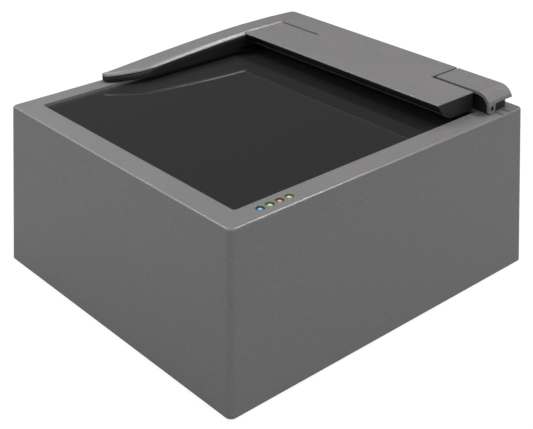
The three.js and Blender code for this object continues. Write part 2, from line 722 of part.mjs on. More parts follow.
function lensMount() {
  const half = LENS_MOUNT / 2;
  const block = box(camera.x - half, camera.x + half, camera.y - half, camera.y + half, mountZ, lensZ);
  return cut(block, post(LENS_RADIUS - 1 + PLAY, camera.x, camera.y, mountZ + 2, lensZ + 1));
}

function lensBarrel() {
  const inner = LENS_GLASS_RADIUS + PLAY;
  return turned([[0, -3], [LENS_RADIUS - 1, -3], [LENS_RADIUS - 1, SEAT], [LENS_RADIUS, SEAT],
    [LENS_RADIUS, LENS_LENGTH], [inner, LENS_LENGTH], [inner, LENS_LENGTH - 3], [0, LENS_LENGTH - 3]],
  camera.x, camera.y, lensZ);
}

function frontLens() {
  const z = LENS_LENGTH - 3 + SEAT;
  return turned([[0, z], [LENS_GLASS_RADIUS, z], [LENS_GLASS_RADIUS, z + 0.8],
    [LENS_GLASS_RADIUS * 0.7, z + 1.6], [LENS_GLASS_RADIUS * 0.35, z + 2], [0, z + 2.1]],
  camera.x, camera.y, lensZ);
}

// Hood. Heights in this section are above the housing's top face.
const hood = {
  x0: -halfWidth + HOOD_LEFT_INSET,
  x1: halfWidth - HOOD_RIGHT_INSET,
  y0: halfDepth - HOOD_REAR_INSET - WIDE_ARM_DEPTH,
  y1: halfDepth - HOOD_REAR_INSET,
};
const barrelRadius = (HOOD_RISE - HOOD_GAP) / 2;
const axisY = hood.y1 - barrelRadius;
const axisZ = top + HOOD_GAP + barrelRadius;
const rimRise = HOOD_RISE + RIM_STEP;
const rimFront = hood.y1 - RIM_DEPTH;
const rimEnd = hood.x0 + RIM_LENGTH;
const armInner = hood.x0 + NARROW_ARM_WIDTH;
const tipY = hood.y1 - NARROW_ARM_REACH;
const hingeCover = {
  x0: halfWidth - HINGE_COVER_RIGHT_INSET - HINGE_COVER_LENGTH,
  x1: halfWidth - HINGE_COVER_RIGHT_INSET,
  y0: halfDepth - HINGE_COVER_REAR_INSET - HINGE_COVER_DEPTH,
  y1: halfDepth - HINGE_COVER_REAR_INSET,
};
const notchX = hingeCover.x0 - SEAM_SIDE;
const notchY = hingeCover.y0 - SEAM_FRONT;
const farBack = hood.y1 + 5;
const farRight = hood.x1 + 5;

// Top of the narrow arm along Y: it rises ever more gently from the tip, then runs level
function armTop(y) {
  const t = Math.min(Math.max((y - tipY) / FALL_RUN, 0), 1);
  return top + rimRise - (rimRise - TIP_HEIGHT) * (1 - t) ** FALL_POWER;
}

// Share of the full width that the rounded tip still lacks
function tipLack(y) {
  return 1 - Math.min((y - tipY) / TIP_ROUND, 1);
}

function armSection(y) {
  const low = top + HOOD_GAP;
  const high = armTop(y);
  const outer = hood.x0;
  const flare = NARROW_ARM_WIDTH - TIP_WIDTH;
  const width = NARROW_ARM_WIDTH - flare * tipLack(y) ** TIP_POWER;
  const inner = outer + width;
  const slope = (flare * TIP_POWER * tipLack(y) ** (TIP_POWER - 1)) / TIP_ROUND;
  const round = Math.min(ARM_EDGE_RADIUS, width * 0.45);
  const reach = Math.min(round * Math.hypot(1, slope), width * 0.6);
  const small = Math.min(ARM_OUTER_RADIUS, width * 0.3);
  const section = [[outer, low], [inner - 0.2 * round, low], [inner, low + 0.2 * round]];
  for (let i = 0; i <= 6; i += 1) {
    const angle = (i / 6) * 90 * DEGREE;
    section.push([inner - reach + reach * Math.cos(angle), high - round + round * Math.sin(angle)]);
  }
  for (let i = 0; i <= 2; i += 1) {
    const angle = (90 + (i / 2) * 90) * DEGREE;
    section.push([outer + small + small * Math.cos(angle), high - small + small * Math.sin(angle)]);
  }
  return section.map(([x, z]) => new THREE.Vector3(x, y, z));
}

function narrowArm() {
  const steps = ARM_STATIONS.map((share) => tipY + share * TIP_ROUND);
  return loft([...steps, hood.y0, rimFront + 1.5].reverse().map(armSection));
}

// Section of the wide arm: lip, lead-in for the document, level underside, barrel at the rear
function wideArmShape() {
  const shape = new THREE.Shape();
  const lipZ = top + HOOD_RISE - LIP_HEIGHT;
  const low = top + HOOD_GAP;
  shape.moveTo(hood.y0, top + HOOD_RISE);
  shape.lineTo(hood.y0, lipZ);
  shape.quadraticCurveTo(hood.y0 + LEAD_IN_DEPTH * 0.46, low + 0.4, hood.y0 + LEAD_IN_DEPTH, low);
  shape.lineTo(axisY, low);
  rearEdge(HOOD_RISE).forEach(([y, z]) => shape.lineTo(y, z));
  return shape;
}

// Points of an arc from straight behind or straight below, turning upwards
function quarter(y, z, radius, from, steps = 5) {
  return Array.from({ length: steps + 1 }, (_, i) => {
    const angle = (from + (i / steps) * 90) * DEGREE;
    return [y + radius * Math.cos(angle), z + radius * Math.sin(angle)];
  });
}

// Rear edge of the hood: barrel below, upright face, small rounding above
function rearEdge(rise) {
  const edge = REAR_EDGE_RADIUS;
  return [...quarter(axisY, axisZ, barrelRadius, -90),
    ...quarter(hood.y1 - edge, top + rise - edge, edge, 0)];
}

function rearRing(x, rise, drop = 0) {
  const points = [[rimFront, top + HOOD_GAP], ...rearEdge(HOOD_RISE - drop),
    [rimFront, top + rise - drop]];
  return points.map(([y, z]) => new THREE.Vector3(x, y, z));
}

// Raised rim along the rear left. Its top slopes down to the rear, its left edge is rounded and
// its right end is ramped down to the wide arm's section.
function rim() {
  const round = ARM_OUTER_RADIUS;
  const left = [0, 30, 60].map((angle) => rearRing(hood.x0 + round * (1 - Math.cos(angle * DEGREE)),
    rimRise, round * (1 - Math.sin(angle * DEGREE))));
  return loft([
    ...left,
    rearRing(hood.x0 + round, rimRise),
    rearRing(rimEnd - RIM_RAMP, rimRise),
    rearRing(rimEnd, HOOD_RISE),
  ]);
}

// Narrow slot along the foot of the rim, with a round right end
function rimSlot() {
  const half = RIM_SLOT_WIDTH / 2;
  const x0 = armInner - ARM_EDGE_RADIUS / 3;
  const x1 = rimEnd - RIM_SLOT_END - half;
  const floor = top + HOOD_RISE - RIM_SLOT_DEPTH;
  return join(box(x0, x1, rimFront - RIM_SLOT_WIDTH, rimFront, floor, top + rimRise + 1),
    post(half, x1, rimFront - half, floor, top + rimRise + 1));
}

// Removes what lies outside a vertical rounded corner at the rear. side is -1 for a left corner.
function cornerCutter(corner, radius, side) {
  const x = corner - side * radius;
  const y = hood.y1 - radius;
  const far = corner + side;
  return cut(box(Math.min(x, far), Math.max(x, far), y, farBack, top - 1, top + rimRise + 1),
    post(radius, x, y, top - 2, top + rimRise + 2, 48));
}

function hoodForm() {
  const wideArm = cut(alongX(wideArmShape(), hood.x0 + 3, hood.x1, 10),
    box(hood.x0, rimEnd, rimFront + 1, farBack, top - 1, top + rimRise + 1));
  return cut(join(wideArm, narrowArm(), rim()),
    box(notchX, farRight, notchY, farBack, top - 1, top + rimRise + 1),
    rimSlot(), cornerCutter(hood.x0, HOOD_CORNER_RADIUS, -1),
    cornerCutter(notchX, NOTCH_CORNER_RADIUS, 1));
}

// Everything above the seam between the cap and the tray
function aboveSeam(raise) {
  const drop = raise - CAP_THICKNESS;
  const shape = new THREE.Shape();
  const steps = 16;
  const from = tipY - 2;
  const back = axisY - barrelRadius / 2;
  shape.moveTo(farBack, top + rimRise + 5);
  shape.lineTo(from, top + rimRise + 5);
  for (let i = 0; i <= steps; i += 1) {
    const y = from + (i / steps) * (tipY + FALL_RUN - from);
    shape.lineTo(y, armTop(y) + drop);
  }
  shape.lineTo(back, top + rimRise + drop);
  for (let i = 1; i <= 6; i += 1) {
    const angle = (1 - i / 6) * 90 * DEGREE;
    shape.lineTo(back + (hood.y1 - back) * Math.cos(angle),
      axisZ + (top + rimRise + drop - axisZ) * Math.sin(angle));
  }
  shape.lineTo(farBack, axisZ);
  return alongX(shape, hood.x0 - 5, farRight, 1);
}

const slotCeiling = top + SLOT_CLEARANCE;
const trayFloor = slotCeiling + TRAY_WALL;
const hoodScrewSpots = [
  [armInner + HOOD_SCREW_SIDE, hood.y0 + HOOD_SCREW_FRONT],
  [hood.x1 - HOOD_SCREW_SIDE, hood.y0 + HOOD_SCREW_FRONT],
  [armInner + HOOD_SCREW_SIDE, axisY - barrelRadius - HOOD_SCREW_REAR],
  [notchX - HOOD_SCREW_SIDE, axisY - barrelRadius - HOOD_SCREW_REAR],
];

function hoodCap(form) {
  const bosses = hoodScrewSpots.map(([x, y]) => cut(
    post(CAP_BOSS_RADIUS, x, y, trayFloor + SEAT, top + HOOD_RISE - SEAT),
    post(SCREW_RADIUS + SEAT, x, y, trayFloor - 1, slotCeiling + HOOD_SCREW_LENGTH + PLAY),
  ));
  return join(form.intersect(aboveSeam(CAP_SEAM / 2)), ...bosses);
}

function hoodTray(form) {
  const lid = top + rimRise + 1;
  const insideFront = hood.y0 + 7.5;
  const slot = box(armInner, hood.x1 - END_WALL, hood.y0 - 1, recess.y1 + 0.6, top - 1, slotCeiling);
  const wideHollow = box(armInner + TRAY_WALL, notchX - TRAY_WALL, insideFront,
    axisY - barrelRadius - TRAY_WALL / 2, trayFloor, lid);
  const rightHollow = box(notchX - TRAY_WALL - 1, hood.x1 - TRAY_WALL, insideFront, notchY - TRAY_WALL,
    trayFloor, lid);
  const armHollow = box(hood.x0 + TRAY_WALL, armInner - TRAY_WALL, tipY + 30,
    axisY - barrelRadius - TRAY_WALL / 2, top + HOOD_GAP + TRAY_WALL, lid);
  const bore = rod(SHAFT_RADIUS + RUNNING_FIT + SLEEVE_WALL + SEAT, shaftX0 - 1, notchX + 1, axisY,
    axisZ, 24);
  const bumpers = bumperSpots.map(([x, y]) => post(BUMPER_RADIUS + SEAT, x, y, top,
    top + HOOD_GAP + BUMPER_DEPTH + SEAT / 2));
  const screws = hoodScrewSpots.map(([x, y]) => screwHole(x, y, slotCeiling, SCREW_HEAD_RADIUS, 4));
  return cut(form, aboveSeam(-CAP_SEAM / 2), slot, wideHollow, rightHollow, armHollow, bore,
    ...bumpers, ...screws);
}

const bumperSpots = BUMPER_PLACES.map((reach) => [(hood.x0 + recess.x0) / 2, tipY + reach]);

// Hinge: a fixed block, a steel shaft, a friction sleeve and a plain bush in the hood's barrel
const shaftX1 = hingeCover.x0 + 22;
const shaftX0 = shaftX1 - SHAFT_LENGTH;
const blockTop = top + HOOD_RISE - HINGE_COVER_SHEET - SEAT;
const block = {
  x0: hingeCover.x0 + 0.6,
  x1: hingeCover.x1 - HINGE_COVER_SHEET - SEAT,
  y0: hingeCover.y0 + 0.8,
  y1: hingeCover.y1 - SEAT,
};

function ringAlongX(inner, outer, x0, x1) {
  const length = x1 - x0;
  return turnedAlongX([[inner, 0], [outer, 0], [outer, length], [inner, length], [inner, 0]], x0,
    axisY, axisZ, 24);
}

function hingeCoverOutline(offset) {
  const radius = HINGE_END_RADIUS - offset;
  const right = hingeCover.x1 - offset;
  const high = top + HOOD_RISE - offset;
  const shape = new THREE.Shape();
  shape.moveTo(hingeCover.x0 - offset, top - offset);
  shape.lineTo(right, top - offset);
  shape.lineTo(right, high - radius);
  shape.absarc(right - radius, high - radius, radius, 0, Math.PI / 2);
  shape.lineTo(hingeCover.x0 - offset, high);
  return shape;
}

function hingeCoverBody() {
  const { x0, x1, y0, y1 } = hingeCover;
  const sheet = cut(alongY(hingeCoverOutline(0), y0, y1, 10),
    alongY(hingeCoverOutline(HINGE_COVER_SHEET), y0 - 1, y1 + 1, 10));
  const legRear = y0 + HINGE_LEG_WIDTH;
  const notchTop = top + HINGE_NOTCH_TOP;
  const radius = HINGE_NOTCH_RADIUS;
  const notch = new THREE.Shape();
  notch.moveTo(y1 + 1, top - 1);
  notch.lineTo(y1 + 1, notchTop);
  notch.lineTo(legRear + radius, notchTop);
  notch.absarc(legRear + radius, notchTop - radius, radius, Math.PI / 2, Math.PI);
  notch.lineTo(legRear, top + 0.3 + radius);
  notch.absarc(legRear - radius, top + 0.3 + radius, radius, 0, -Math.PI / 2, true);
  notch.lineTo(y0 + radius, top + 0.3);
  notch.absarc(y0 + radius, top + 0.3 + radius, radius, -Math.PI / 2, -Math.PI, true);
  notch.lineTo(y0 - 1, top + 0.3 + radius);
  notch.lineTo(y0 - 1, top - 1);
  const screwBore = rod(LEG_SCREW_RADIUS + SEAT / 2, x1 - 5, x1 + 1, legScrew.y, legScrew.z);
  const floorCut = box(x0 - 3, x1 - HINGE_END_RADIUS, y0 - 1, y1 + 1, top - 3,
    top + HOOD_RISE - HINGE_COVER_SHEET);
  return cut(sheet, floorCut, alongX(notch, x1 - HINGE_END_RADIUS, x1 + 1), screwBore);
}

const legScrew = { y: hingeCover.y0 + HINGE_LEG_WIDTH * 0.5, z: top + 3 };

function hingeBlock() {
  const { x0, x1, y0, y1 } = block;
  const stepX = x1 - BLOCK_STEP;
  const radius = HINGE_END_RADIUS - HINGE_COVER_SHEET - SEAT;
  const section = new THREE.Shape();
  section.moveTo(x0, top + SEAT / 2);
  section.lineTo(x1, top + SEAT / 2);
  section.lineTo(x1, blockTop - radius);
  section.absarc(x1 - radius, blockTop - radius, radius, 0, Math.PI / 2);
  section.lineTo(x0, blockTop);
  const body = alongY(section, y0, y1);
  const rearRight = box(stepX, x1 + 1, y0 + BLOCK_RIGHT_DEPTH, y1 + 1, top - 1, blockTop + 1);
  const bore = rod(SHAFT_RADIUS + RUNNING_FIT, x0 - 1, shaftX1 + SEAT, axisY, axisZ, 24);
  const screwBore = rod(LEG_SCREW_RADIUS + SEAT / 2, x1 - 5, x1 + 1, legScrew.y, legScrew.z);
  return cut(body, rearRight, bore, screwBore);
}

function legScrewBody() {
  const x1 = hingeCover.x1 + 0.2;
  const shank = rod(LEG_SCREW_RADIUS, x1 - 4.5, x1, legScrew.y, legScrew.z, 16);
  return cut(shank,
    box(x1 - 0.5, x1 + 1, legScrew.y - 0.7, legScrew.y + 0.7, legScrew.z - 0.2, legScrew.z + 0.2),
    box(x1 - 0.5, x1 + 1, legScrew.y - 0.2, legScrew.y + 0.2, legScrew.z - 0.7, legScrew.z + 0.7));
}

// Assembly: housing and base
add('housing', housing(), paint);
add('scan_glass', glass(), darkGlass);
add('glass_gasket', gasket(), rubber);
lightYs.forEach((y, i) => add(`status_light_${i + 1}`, lightPipe(y),
  { color: lightColors[i % lightColors.length], roughness: 0.25, metalness: 0 }));
add('status_light_board', lightBoard(), circuitBoard);
add('base_plate', basePlate(), blackPlastic);
corners.forEach(([sx, sy], i) => {
  const where = `${sy < 0 ? 'front' : 'rear'}_${sx < 0 ? 'left' : 'right'}`;
  add(`foot_${where}`, foot(sx * footX, sy * footY), rubber);
  add(`base_screw_${i + 1}`, screw(sx * bossX, sy * bossY, plateBottom, SCREW_HEAD_RADIUS,
    SCREW_LENGTH), steel);
});

// Assembly: electronics and optics
add('main_board', mainBoardBody(), circuitBoard);
add('usb_socket', usbSocket(), steel);
add('power_socket', powerSocket(), blackPlastic);
add('light_tunnel', lightTunnel(), blackPlastic);
add('antenna_board', antennaBoard(), circuitBoard);
addLamp('lamp_bar_left', 'left');
addLamp('lamp_bar_right', 'right');
addLamp('lamp_bar_front', 'front');
addLamp('lamp_bar_rear', 'rear');
add('camera_board', cameraBoardBody(), circuitBoard);
add('lens_mount', lensMount(), blackPlastic);
add('lens_barrel', lensBarrel(), blackPlastic);
add('front_lens', frontLens(), lensGlass);

// Assembly: hinge, fixed side
add('hinge_block', hingeBlock(), blackPlastic);
add('hinge_cover', hingeCoverBody(), paint);
add('hinge_cover_screw', legScrewBody(), steel);
add('hinge_shaft', rod(SHAFT_RADIUS, shaftX0, shaftX1, axisY, axisZ, 24), steel);

// Assembly: hood, moving side
const form = hoodForm();
add('hood_cap', hoodCap(form), paint);
add('hood_tray', hoodTray(form), blackPlastic);
const sleeveInner = SHAFT_RADIUS + RUNNING_FIT;
const sleeveOuter = sleeveInner + SLEEVE_WALL;
add('friction_sleeve', ringAlongX(sleeveInner, sleeveOuter, notchX - SLEEVE_LENGTH - 1, notchX - 1), steel);
add('shaft_bush', ringAlongX(sleeveInner, sleeveOuter, shaftX0 + 1, shaftX0 + 1 + BUSH_LENGTH),
  blackPlastic);
hoodScrewSpots.forEach(([x, y], i) => add(`hood_screw_${i + 1}`,
  screw(x, y, slotCeiling, SCREW_HEAD_RADIUS, HOOD_SCREW_LENGTH), steel));
bumperSpots.forEach(([x, y], i) => add(`hood_bumper_${i + 1}`,
  post(BUMPER_RADIUS, x, y, top + PLAY, top + HOOD_GAP + BUMPER_DEPTH), rubber));

export default model;
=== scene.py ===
"""Studio view of a desktop passport scanner: the moulded housing, the glass window and the hinged hood."""

import math

import bmesh
import bpy
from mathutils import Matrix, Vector


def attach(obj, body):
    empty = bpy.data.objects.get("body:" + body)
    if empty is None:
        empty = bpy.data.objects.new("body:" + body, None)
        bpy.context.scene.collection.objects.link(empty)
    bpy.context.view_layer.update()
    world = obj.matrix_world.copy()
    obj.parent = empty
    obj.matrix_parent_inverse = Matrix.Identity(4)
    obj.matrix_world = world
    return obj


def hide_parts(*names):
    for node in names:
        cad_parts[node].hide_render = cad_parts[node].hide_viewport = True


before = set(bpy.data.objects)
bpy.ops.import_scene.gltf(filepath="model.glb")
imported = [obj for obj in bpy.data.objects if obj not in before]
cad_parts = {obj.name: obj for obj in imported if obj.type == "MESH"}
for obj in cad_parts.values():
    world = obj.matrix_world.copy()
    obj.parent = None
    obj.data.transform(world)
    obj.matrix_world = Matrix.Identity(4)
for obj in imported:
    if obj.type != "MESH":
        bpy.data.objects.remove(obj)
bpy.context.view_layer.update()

# Units and tolerances: sizes are in millimetres, in the frame of the solids
MM = 0.001
NEAR = 0.01
FLAT = 0.99

# How far a cutting tool reaches past what it cuts
PAST = 2

# Housing sizes
TOP = 90.0
HALF_WIDTH = 86.0
HALF_DEPTH = 97.0
SKIRT = 0.8
DRAFT = math.tan(math.radians(4.3))
WALL = 2.8
ROOF = 3.2
CORNER_RADIUS = 3.2
TOP_EDGE = 0.9
SKIRT_EDGE = 0.5
GROOVES_X = (80, 87)
GROOVES_Y = (81.1, 86.9)
GROOVE_HALF_WIDTH = 0.4
GROOVE_DEPTH = 0.5
UNDER_ROOF = 70
OVER_ROOF = TOP + PAST
REAR_WALL = (94, 108)

# Window sizes
WINDOW = ((-76.0, 73.7), (-84.4, 76.5))
WINDOW_CORNER = 1.5
POCKET_WALL = 2.4
POCKET_BOTTOM = 80.7
POCKET_FLOOR = 83.2
SEAT_WIDTH = 5
GLASS_BOTTOM = 83.8
GLASS_TOP = 88.5
GLASS_GAP = 1
GLASS_CORNER = 1.2
GLASS_EDGE = 0.4
GASKET_GAP = 0.1
GASKET_WIDTH = 0.8
GASKET_CORNER = 1.4
GASKET_BOTTOM = 83.3
GASKET_TOP = 88.2

# Status light sizes
LIGHT_X = 79.3
LIGHTS_Y = (-74.9, -69.4, -63.9, -58.4)
LIGHT_RADIUS = 1.95
LIGHT_HOLE = 2.1
LIGHT_BOTTOM = 81.5
LIGHT_RIM = 89.3

# Socket sizes
SOCKETS_REAR = 101.4
SOCKETS_Z = 15.3
SOCKET_HALF_HEIGHT = 5.5
SOCKET_MOUTH = 9
SOCKET_PLAY = 0.3
DATA_X = -30.0
DATA_HALF_WIDTH = 6.0
DATA_DEPTH = 16
DATA_MOUTH_HALF = (4.2, 3.9)
TONGUE_HALF = (2.8, 1.6)
CONTACT_HALF = (0.5, 0.1)
CONTACT_OFFSET = (1.25, 1.62)
POWER_X = 30.0
POWER_HALF_WIDTH = 4.5
POWER_DEPTH = 14
POWER_BORE = 3.2
POWER_PIN = 1.0

# Hood sizes
HOOD_X = (-83.0, 72.0)
HOOD_Y = (46.0, 95.5)
HOOD_LOW = TOP + 0.6
HOOD_TOP = TOP + 10.3
HOOD_LEFT_ROUND = 3
HOOD_CORNER = 7
REAR_EDGE = 2
BARREL = 4.85
AXIS_Y = 90.65
AXIS_Z = TOP + 5.45
LIP = 0.5
LEAD_IN = 13
LEAD_TURN = (6, 1)
LEAD_STEPS = 16
LEDGE = 0.7
LEDGE_STEP = 6
RIM_STEP = 0.55
RIM_TOP = HOOD_TOP + RIM_STEP
RIM_FRONT = 75.0
RIM_END = -38.5
RIM_RAMP = 3.8
RIM_EDGE = 1.2
RIM_SLOT_WIDTH = 0.9
RIM_SLOT_DEPTH = 0.5
RIM_SLOT_END = 2.6
RIM_SLOT_ROUND = 0.44
NOTCH = (44.5, 73.0)
NOTCH_CORNER = 2.6
CAP_THICKNESS = 1.6
CAP_FRONT = 0.55
CAP_FRONT_DEPTH = 12
CAP_END_WIDTH = 8
HALF_SEAM = 0.12
END_WALL = 1.9
TRAY_REAR = 77.1
SLOT_TOP = TOP + 2.6

# Spans well past the hood on each side, for its cutting tools
WIDE_X = (-90, 90)
WIDE_Y = (40, 102)
WIDE_Z = (TOP - 1, TOP + 20)

# Narrow arm sizes
ARM_WIDTH = 13.5
ARM_INNER = HOOD_X[0] + ARM_WIDTH
ARM_TIP = -43.5
ARM_CLIMB = 97
CLIMB_POWER = 1.4
TIP_HEIGHT = 4.8
TIP_WIDTH = 3.4
TIP_FLARE = 24
FLARE_POWER = 1.6
NOSE_LENGTH = 2.6
NOSE_SHARE = 0.35
ARM_EDGE = 3.2
ARM_OUTER_EDGE = 1.2
ARM_FOOT_EDGE = 0.64
ARM_REACHES = (0.2, 0.5, 0.9, 1.3, 1.9, 2.6, 3.4, 4.5, 5.8, 7.3, 9, 10.8, 12.8, 15, 17.3, 19.6,
               22, 24, 28, 33, 39, 46, 54, 63, 73, 83, 90, 97, 120)

# Hinge sizes
SHAFT_X = (-28.3, 67.7)
SHAFT_RADIUS = 1.8
SLEEVE_BORE = 2.7
COVER_X = (45.7, 81.2)
COVER_Y = (75.3, 93.8)
COVER_LOW = TOP + 0.3
COVER_SHEET = 1.6
COVER_BEND = 8.0
LEG_WIDTH = 4.6
LEG_NOTCH_TOP = TOP + 5
LEG_NOTCH_RADIUS = 1.2
LEG_SCREW = (77.5, TOP + 3)
LEG_SCREW_RADIUS = 1.1
LEG_SCREW_LENGTH = 4.5
LEG_SCREW_RISE = 0.15
LEG_SCREW_CROSS = (1.5, 0.4)
BLOCK_GAPS_X = (0.6, 1.8)
BLOCK_GAPS_Y = (0.8, 0.2)
BLOCK_TOP = HOOD_TOP - 1.8
BLOCK_BEND = 6.2
BLOCK_STEP = (9.5, 14.2)

# Screw, bumper and foot sizes
SCREW_HEAD = 2.6
SCREW_HEAD_HEIGHT = 1.4
SCREW_RADIUS = 1.2
SCREW_CROSS = (3.0, 0.7)
SCREW_CROSS_DEPTH = 0.7
BASE_SCREW_Z = 1.2
BASE_SCREW_LENGTH = 12
BASE_SCREWS = ((-80.5, -91.5), (80.5, -91.5), (80.5, 91.5), (-80.5, 91.5))
HOOD_SCREW_LENGTH = 4.6
HOOD_SCREWS = ((-57.5, 60.0), (60.0, 60.0), (-57.5, 79.8), (32.7, 79.8))
BUMPER_X = (HOOD_X[0] + WINDOW[0][0]) / 2
BUMPERS_Y = (ARM_TIP + 16, ARM_TIP + 80)
BUMPER_HOLE = 2.6
BUMPER_SEAT = TOP + 1.9
FOOT_RADIUS = 7
FOOT_PAD = 1.6
FOOT_STEM_RADIUS = 2
FOOT_STEM = 3.6
FOOT_RING = ((1.4, 0.35), (0.5, -0.3))
FEET = {"front_left": (-65, -76), "front_right": (65, -76), "rear_right": (65, 76), "rear_left": (-65, 76)}


# Modelling by hand
def clear_selection():
    if bpy.context.object and bpy.context.object.mode != "OBJECT":
        bpy.ops.object.mode_set(mode="OBJECT")
    bpy.ops.object.select_all(action="DESELECT")


def pick(piece):
    clear_selection()
    bpy.context.view_layer.objects.active = piece
    piece.select_set(True)


def named(name):
    piece = bpy.context.object
    piece.name = name
    piece.data.name = name
    bpy.ops.object.transform_apply(location=True, rotation=True, scale=True)
    return piece


def around(middle, half):
    """The low and high ends of a span about its middle."""
    return middle - half, middle + half


def block(name, x, y, z):
    """A box between three low and high pairs."""
    clear_selection()
    spans = (x, y, z)
    bpy.ops.mesh.primitive_cube_add(size=MM, location=[(low + high) / 2 * MM for low, high in spans])
    bpy.context.object.scale = [high - low for low, high in spans]
    return named(name)


def cylinder(name, radius, length, centre, turn, sides):
    clear_selection()
    bpy.ops.mesh.primitive_cylinder_add(vertices=sides, radius=radius * MM, depth=length * MM,
                                        location=[part * MM for part in centre], rotation=turn)
    return named(name)


def post(name, radius, x, y, z, sides=64):
    """An upright round bar between two heights."""
    return cylinder(name, radius, z[1] - z[0], (x, y, sum(z) / 2), (0, 0, 0), sides)


def bar(name, radius, x, y, z, sides=64):
    """A round bar lying from side to side."""
    return cylinder(name, radius, x[1] - x[0], (sum(x) / 2, y, z), (0, math.pi / 2, 0), sides)


def rear_bar(name, radius, x, y, z, sides=64):
    """A round bar lying from front to rear."""
    return cylinder(name, radius, y[1] - y[0], (x, sum(y) / 2, z), (math.pi / 2, 0, 0), sides)


def start_editing(piece, part):
    pick(piece)
    bpy.ops.object.mode_set(mode="EDIT")
    bpy.ops.mesh.select_mode(type=part)
    bpy.ops.mesh.select_all(action="DESELECT")
    return bmesh.from_edit_mesh(piece.data)


def leave_editing():
    bpy.ops.object.mode_set(mode="OBJECT")


def select_points(piece, test):
    mesh = start_editing(piece, "VERT")
    for point in mesh.verts:
        if test(point.co / MM):
            point.select_set(True)
    mesh.select_flush(True)
    bmesh.update_edit_mesh(piece.data)


def select_edges(piece, test):
    mesh = start_editing(piece, "EDGE")
    for edge in mesh.edges:
        if test(edge.verts[0].co / MM, edge.verts[1].co / MM):
            edge.select_set(True)
    bmesh.update_edit_mesh(piece.data)


def select_faces(piece, test):
    mesh = start_editing(piece, "FACE")
    for face in mesh.faces:
        if test(face.calc_center_median() / MM, face.normal):
            face.select_set(True)
    bmesh.update_edit_mesh(piece.data)


def facing_up(centre, normal):
    return normal.z > FLAT


def facing_down(centre, normal):
    return normal.z < -FLAT


def edges_above(height):
    return lambda a, b: min(a.z, b.z) > height - NEAR


def edges_below(height):
    return lambda a, b: max(a.z, b.z) < height + NEAR


def upright(a, b):
    return abs(a.z - b.z) > NEAR and (a - b).xy.length < NEAR


def move(offset):
    bpy.ops.transform.translate(value=[part * MM for part in offset])


def stretch(factors, centre):
    bpy.ops.transform.resize(value=factors, center_override=[part * MM for part in centre])


def pull(offset):
    bpy.ops.mesh.extrude_region_move(TRANSFORM_OT_translate={"value": [part * MM for part in offset]})


def inset(width):
    bpy.ops.mesh.inset(thickness=width * MM, depth=0)


def place_point(piece, old, new):
    """Moves one point of the piece being edited."""
    if (new - old).length < NEAR / 100:
        return
    mesh = bmesh.from_edit_mesh(piece.data)
    bpy.ops.mesh.select_mode(type="VERT")
    bpy.ops.mesh.select_all(action="DESELECT")
    nearest = min(mesh.verts, key=lambda point: (point.co / MM - old).length)
    nearest.select_set(True)
    mesh.select_flush(True)
    bmesh.update_edit_mesh(piece.data)
    move(new - old)


def face_outward():
    """Turns all faces of the piece being edited to the outside."""
    bpy.ops.mesh.select_all(action="SELECT")
    bpy.ops.mesh.normals_make_consistent(inside=False)


def round_edges(piece, test, width, steps):
    select_edges(piece, test)
    bpy.ops.mesh.bevel(offset=width * MM, segments=steps, affect="EDGES", clamp_overlap=True)
    leave_editing()


def apply_step(piece, step):
    pick(piece)
    bpy.ops.object.modifier_apply(modifier=step.name)


def combine(piece, tool, operation):
    step = piece.modifiers.new("shape", "BOOLEAN")
    step.operation = operation
    step.solver = "EXACT"
    step.object = tool
    apply_step(piece, step)
    bpy.data.objects.remove(tool, do_unlink=True)
    return piece


def cut(piece, *tools):
    for tool in tools:
        combine(piece, tool, "DIFFERENCE")
    return piece


def join(piece, *others):
    for other in others:
        combine(piece, other, "UNION")
    return piece


def copy_of(piece, name):
    pick(piece)
    bpy.ops.object.duplicate(linked=False)
    return named(name)


def drawn(name, outline, along=None):
    """A closed outline drawn point by point, and pulled out along an offset if there is one."""
    clear_selection()
    points = [Vector(point) for point in outline]
    bpy.ops.mesh.primitive_plane_add(size=MM, location=points[0] * MM)
    piece = named(name)
    start_editing(piece, "VERT")
    bpy.ops.mesh.select_all(action="SELECT")
    bpy.ops.mesh.merge(type="CENTER")
    for start, end in zip(points, points[1:]):
        bpy.ops.mesh.extrude_vertices_move(TRANSFORM_OT_translate={"value": (end - start) * MM})
    bpy.ops.mesh.select_all(action="SELECT")
    bpy.ops.mesh.edge_face_add()
    if along:
        pull(along)
        face_outward()
    leave_editing()
    return piece


def rounded_block(name, x, y, z, radius):
    piece = block(name, x, y, z)
    round_edges(piece, upright, radius, 6)
    return piece


def arc(centre, radius, start, end, steps):
    """Points on an arc in a plane, from one angle in degrees to another."""
    points = []
    for i in range(steps + 1):
        angle = math.radians(start + (end - start) * i / steps)
        points.append((centre[0] + radius * math.cos(angle), centre[1] + radius * math.sin(angle)))
    return points


def finish_edges(piece, width=0.2, steps=2, angle=35):
    """Breaks the sharp edges and smooths the shading."""
    pick(piece)
    bpy.ops.object.mode_set(mode="EDIT")
    bpy.ops.mesh.select_all(action="SELECT")
    bpy.ops.mesh.remove_doubles(threshold=0.002 * MM)
    bpy.ops.mesh.dissolve_limited(angle_limit=math.radians(0.2))
    leave_editing()
    if width:
        step = piece.modifiers.new("broken edges", "BEVEL")
        step.width = width * MM
        step.segments = steps
        step.limit_method = "ANGLE"
        step.angle_limit = math.radians(angle)
        step.use_clamp_overlap = True
        apply_step(piece, step)
    pick(piece)
    bpy.ops.object.shade_smooth_by_angle(angle=math.radians(angle))
    step = piece.modifiers.new("even shading", "WEIGHTED_NORMAL")
    step.keep_sharp = True
    apply_step(piece, step)


def set_piece(piece, body, slot, material, *nodes):
    piece.data.materials.clear()
    piece.data.materials.append(material)
    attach(piece, body)
    if nodes:
        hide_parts(*nodes)


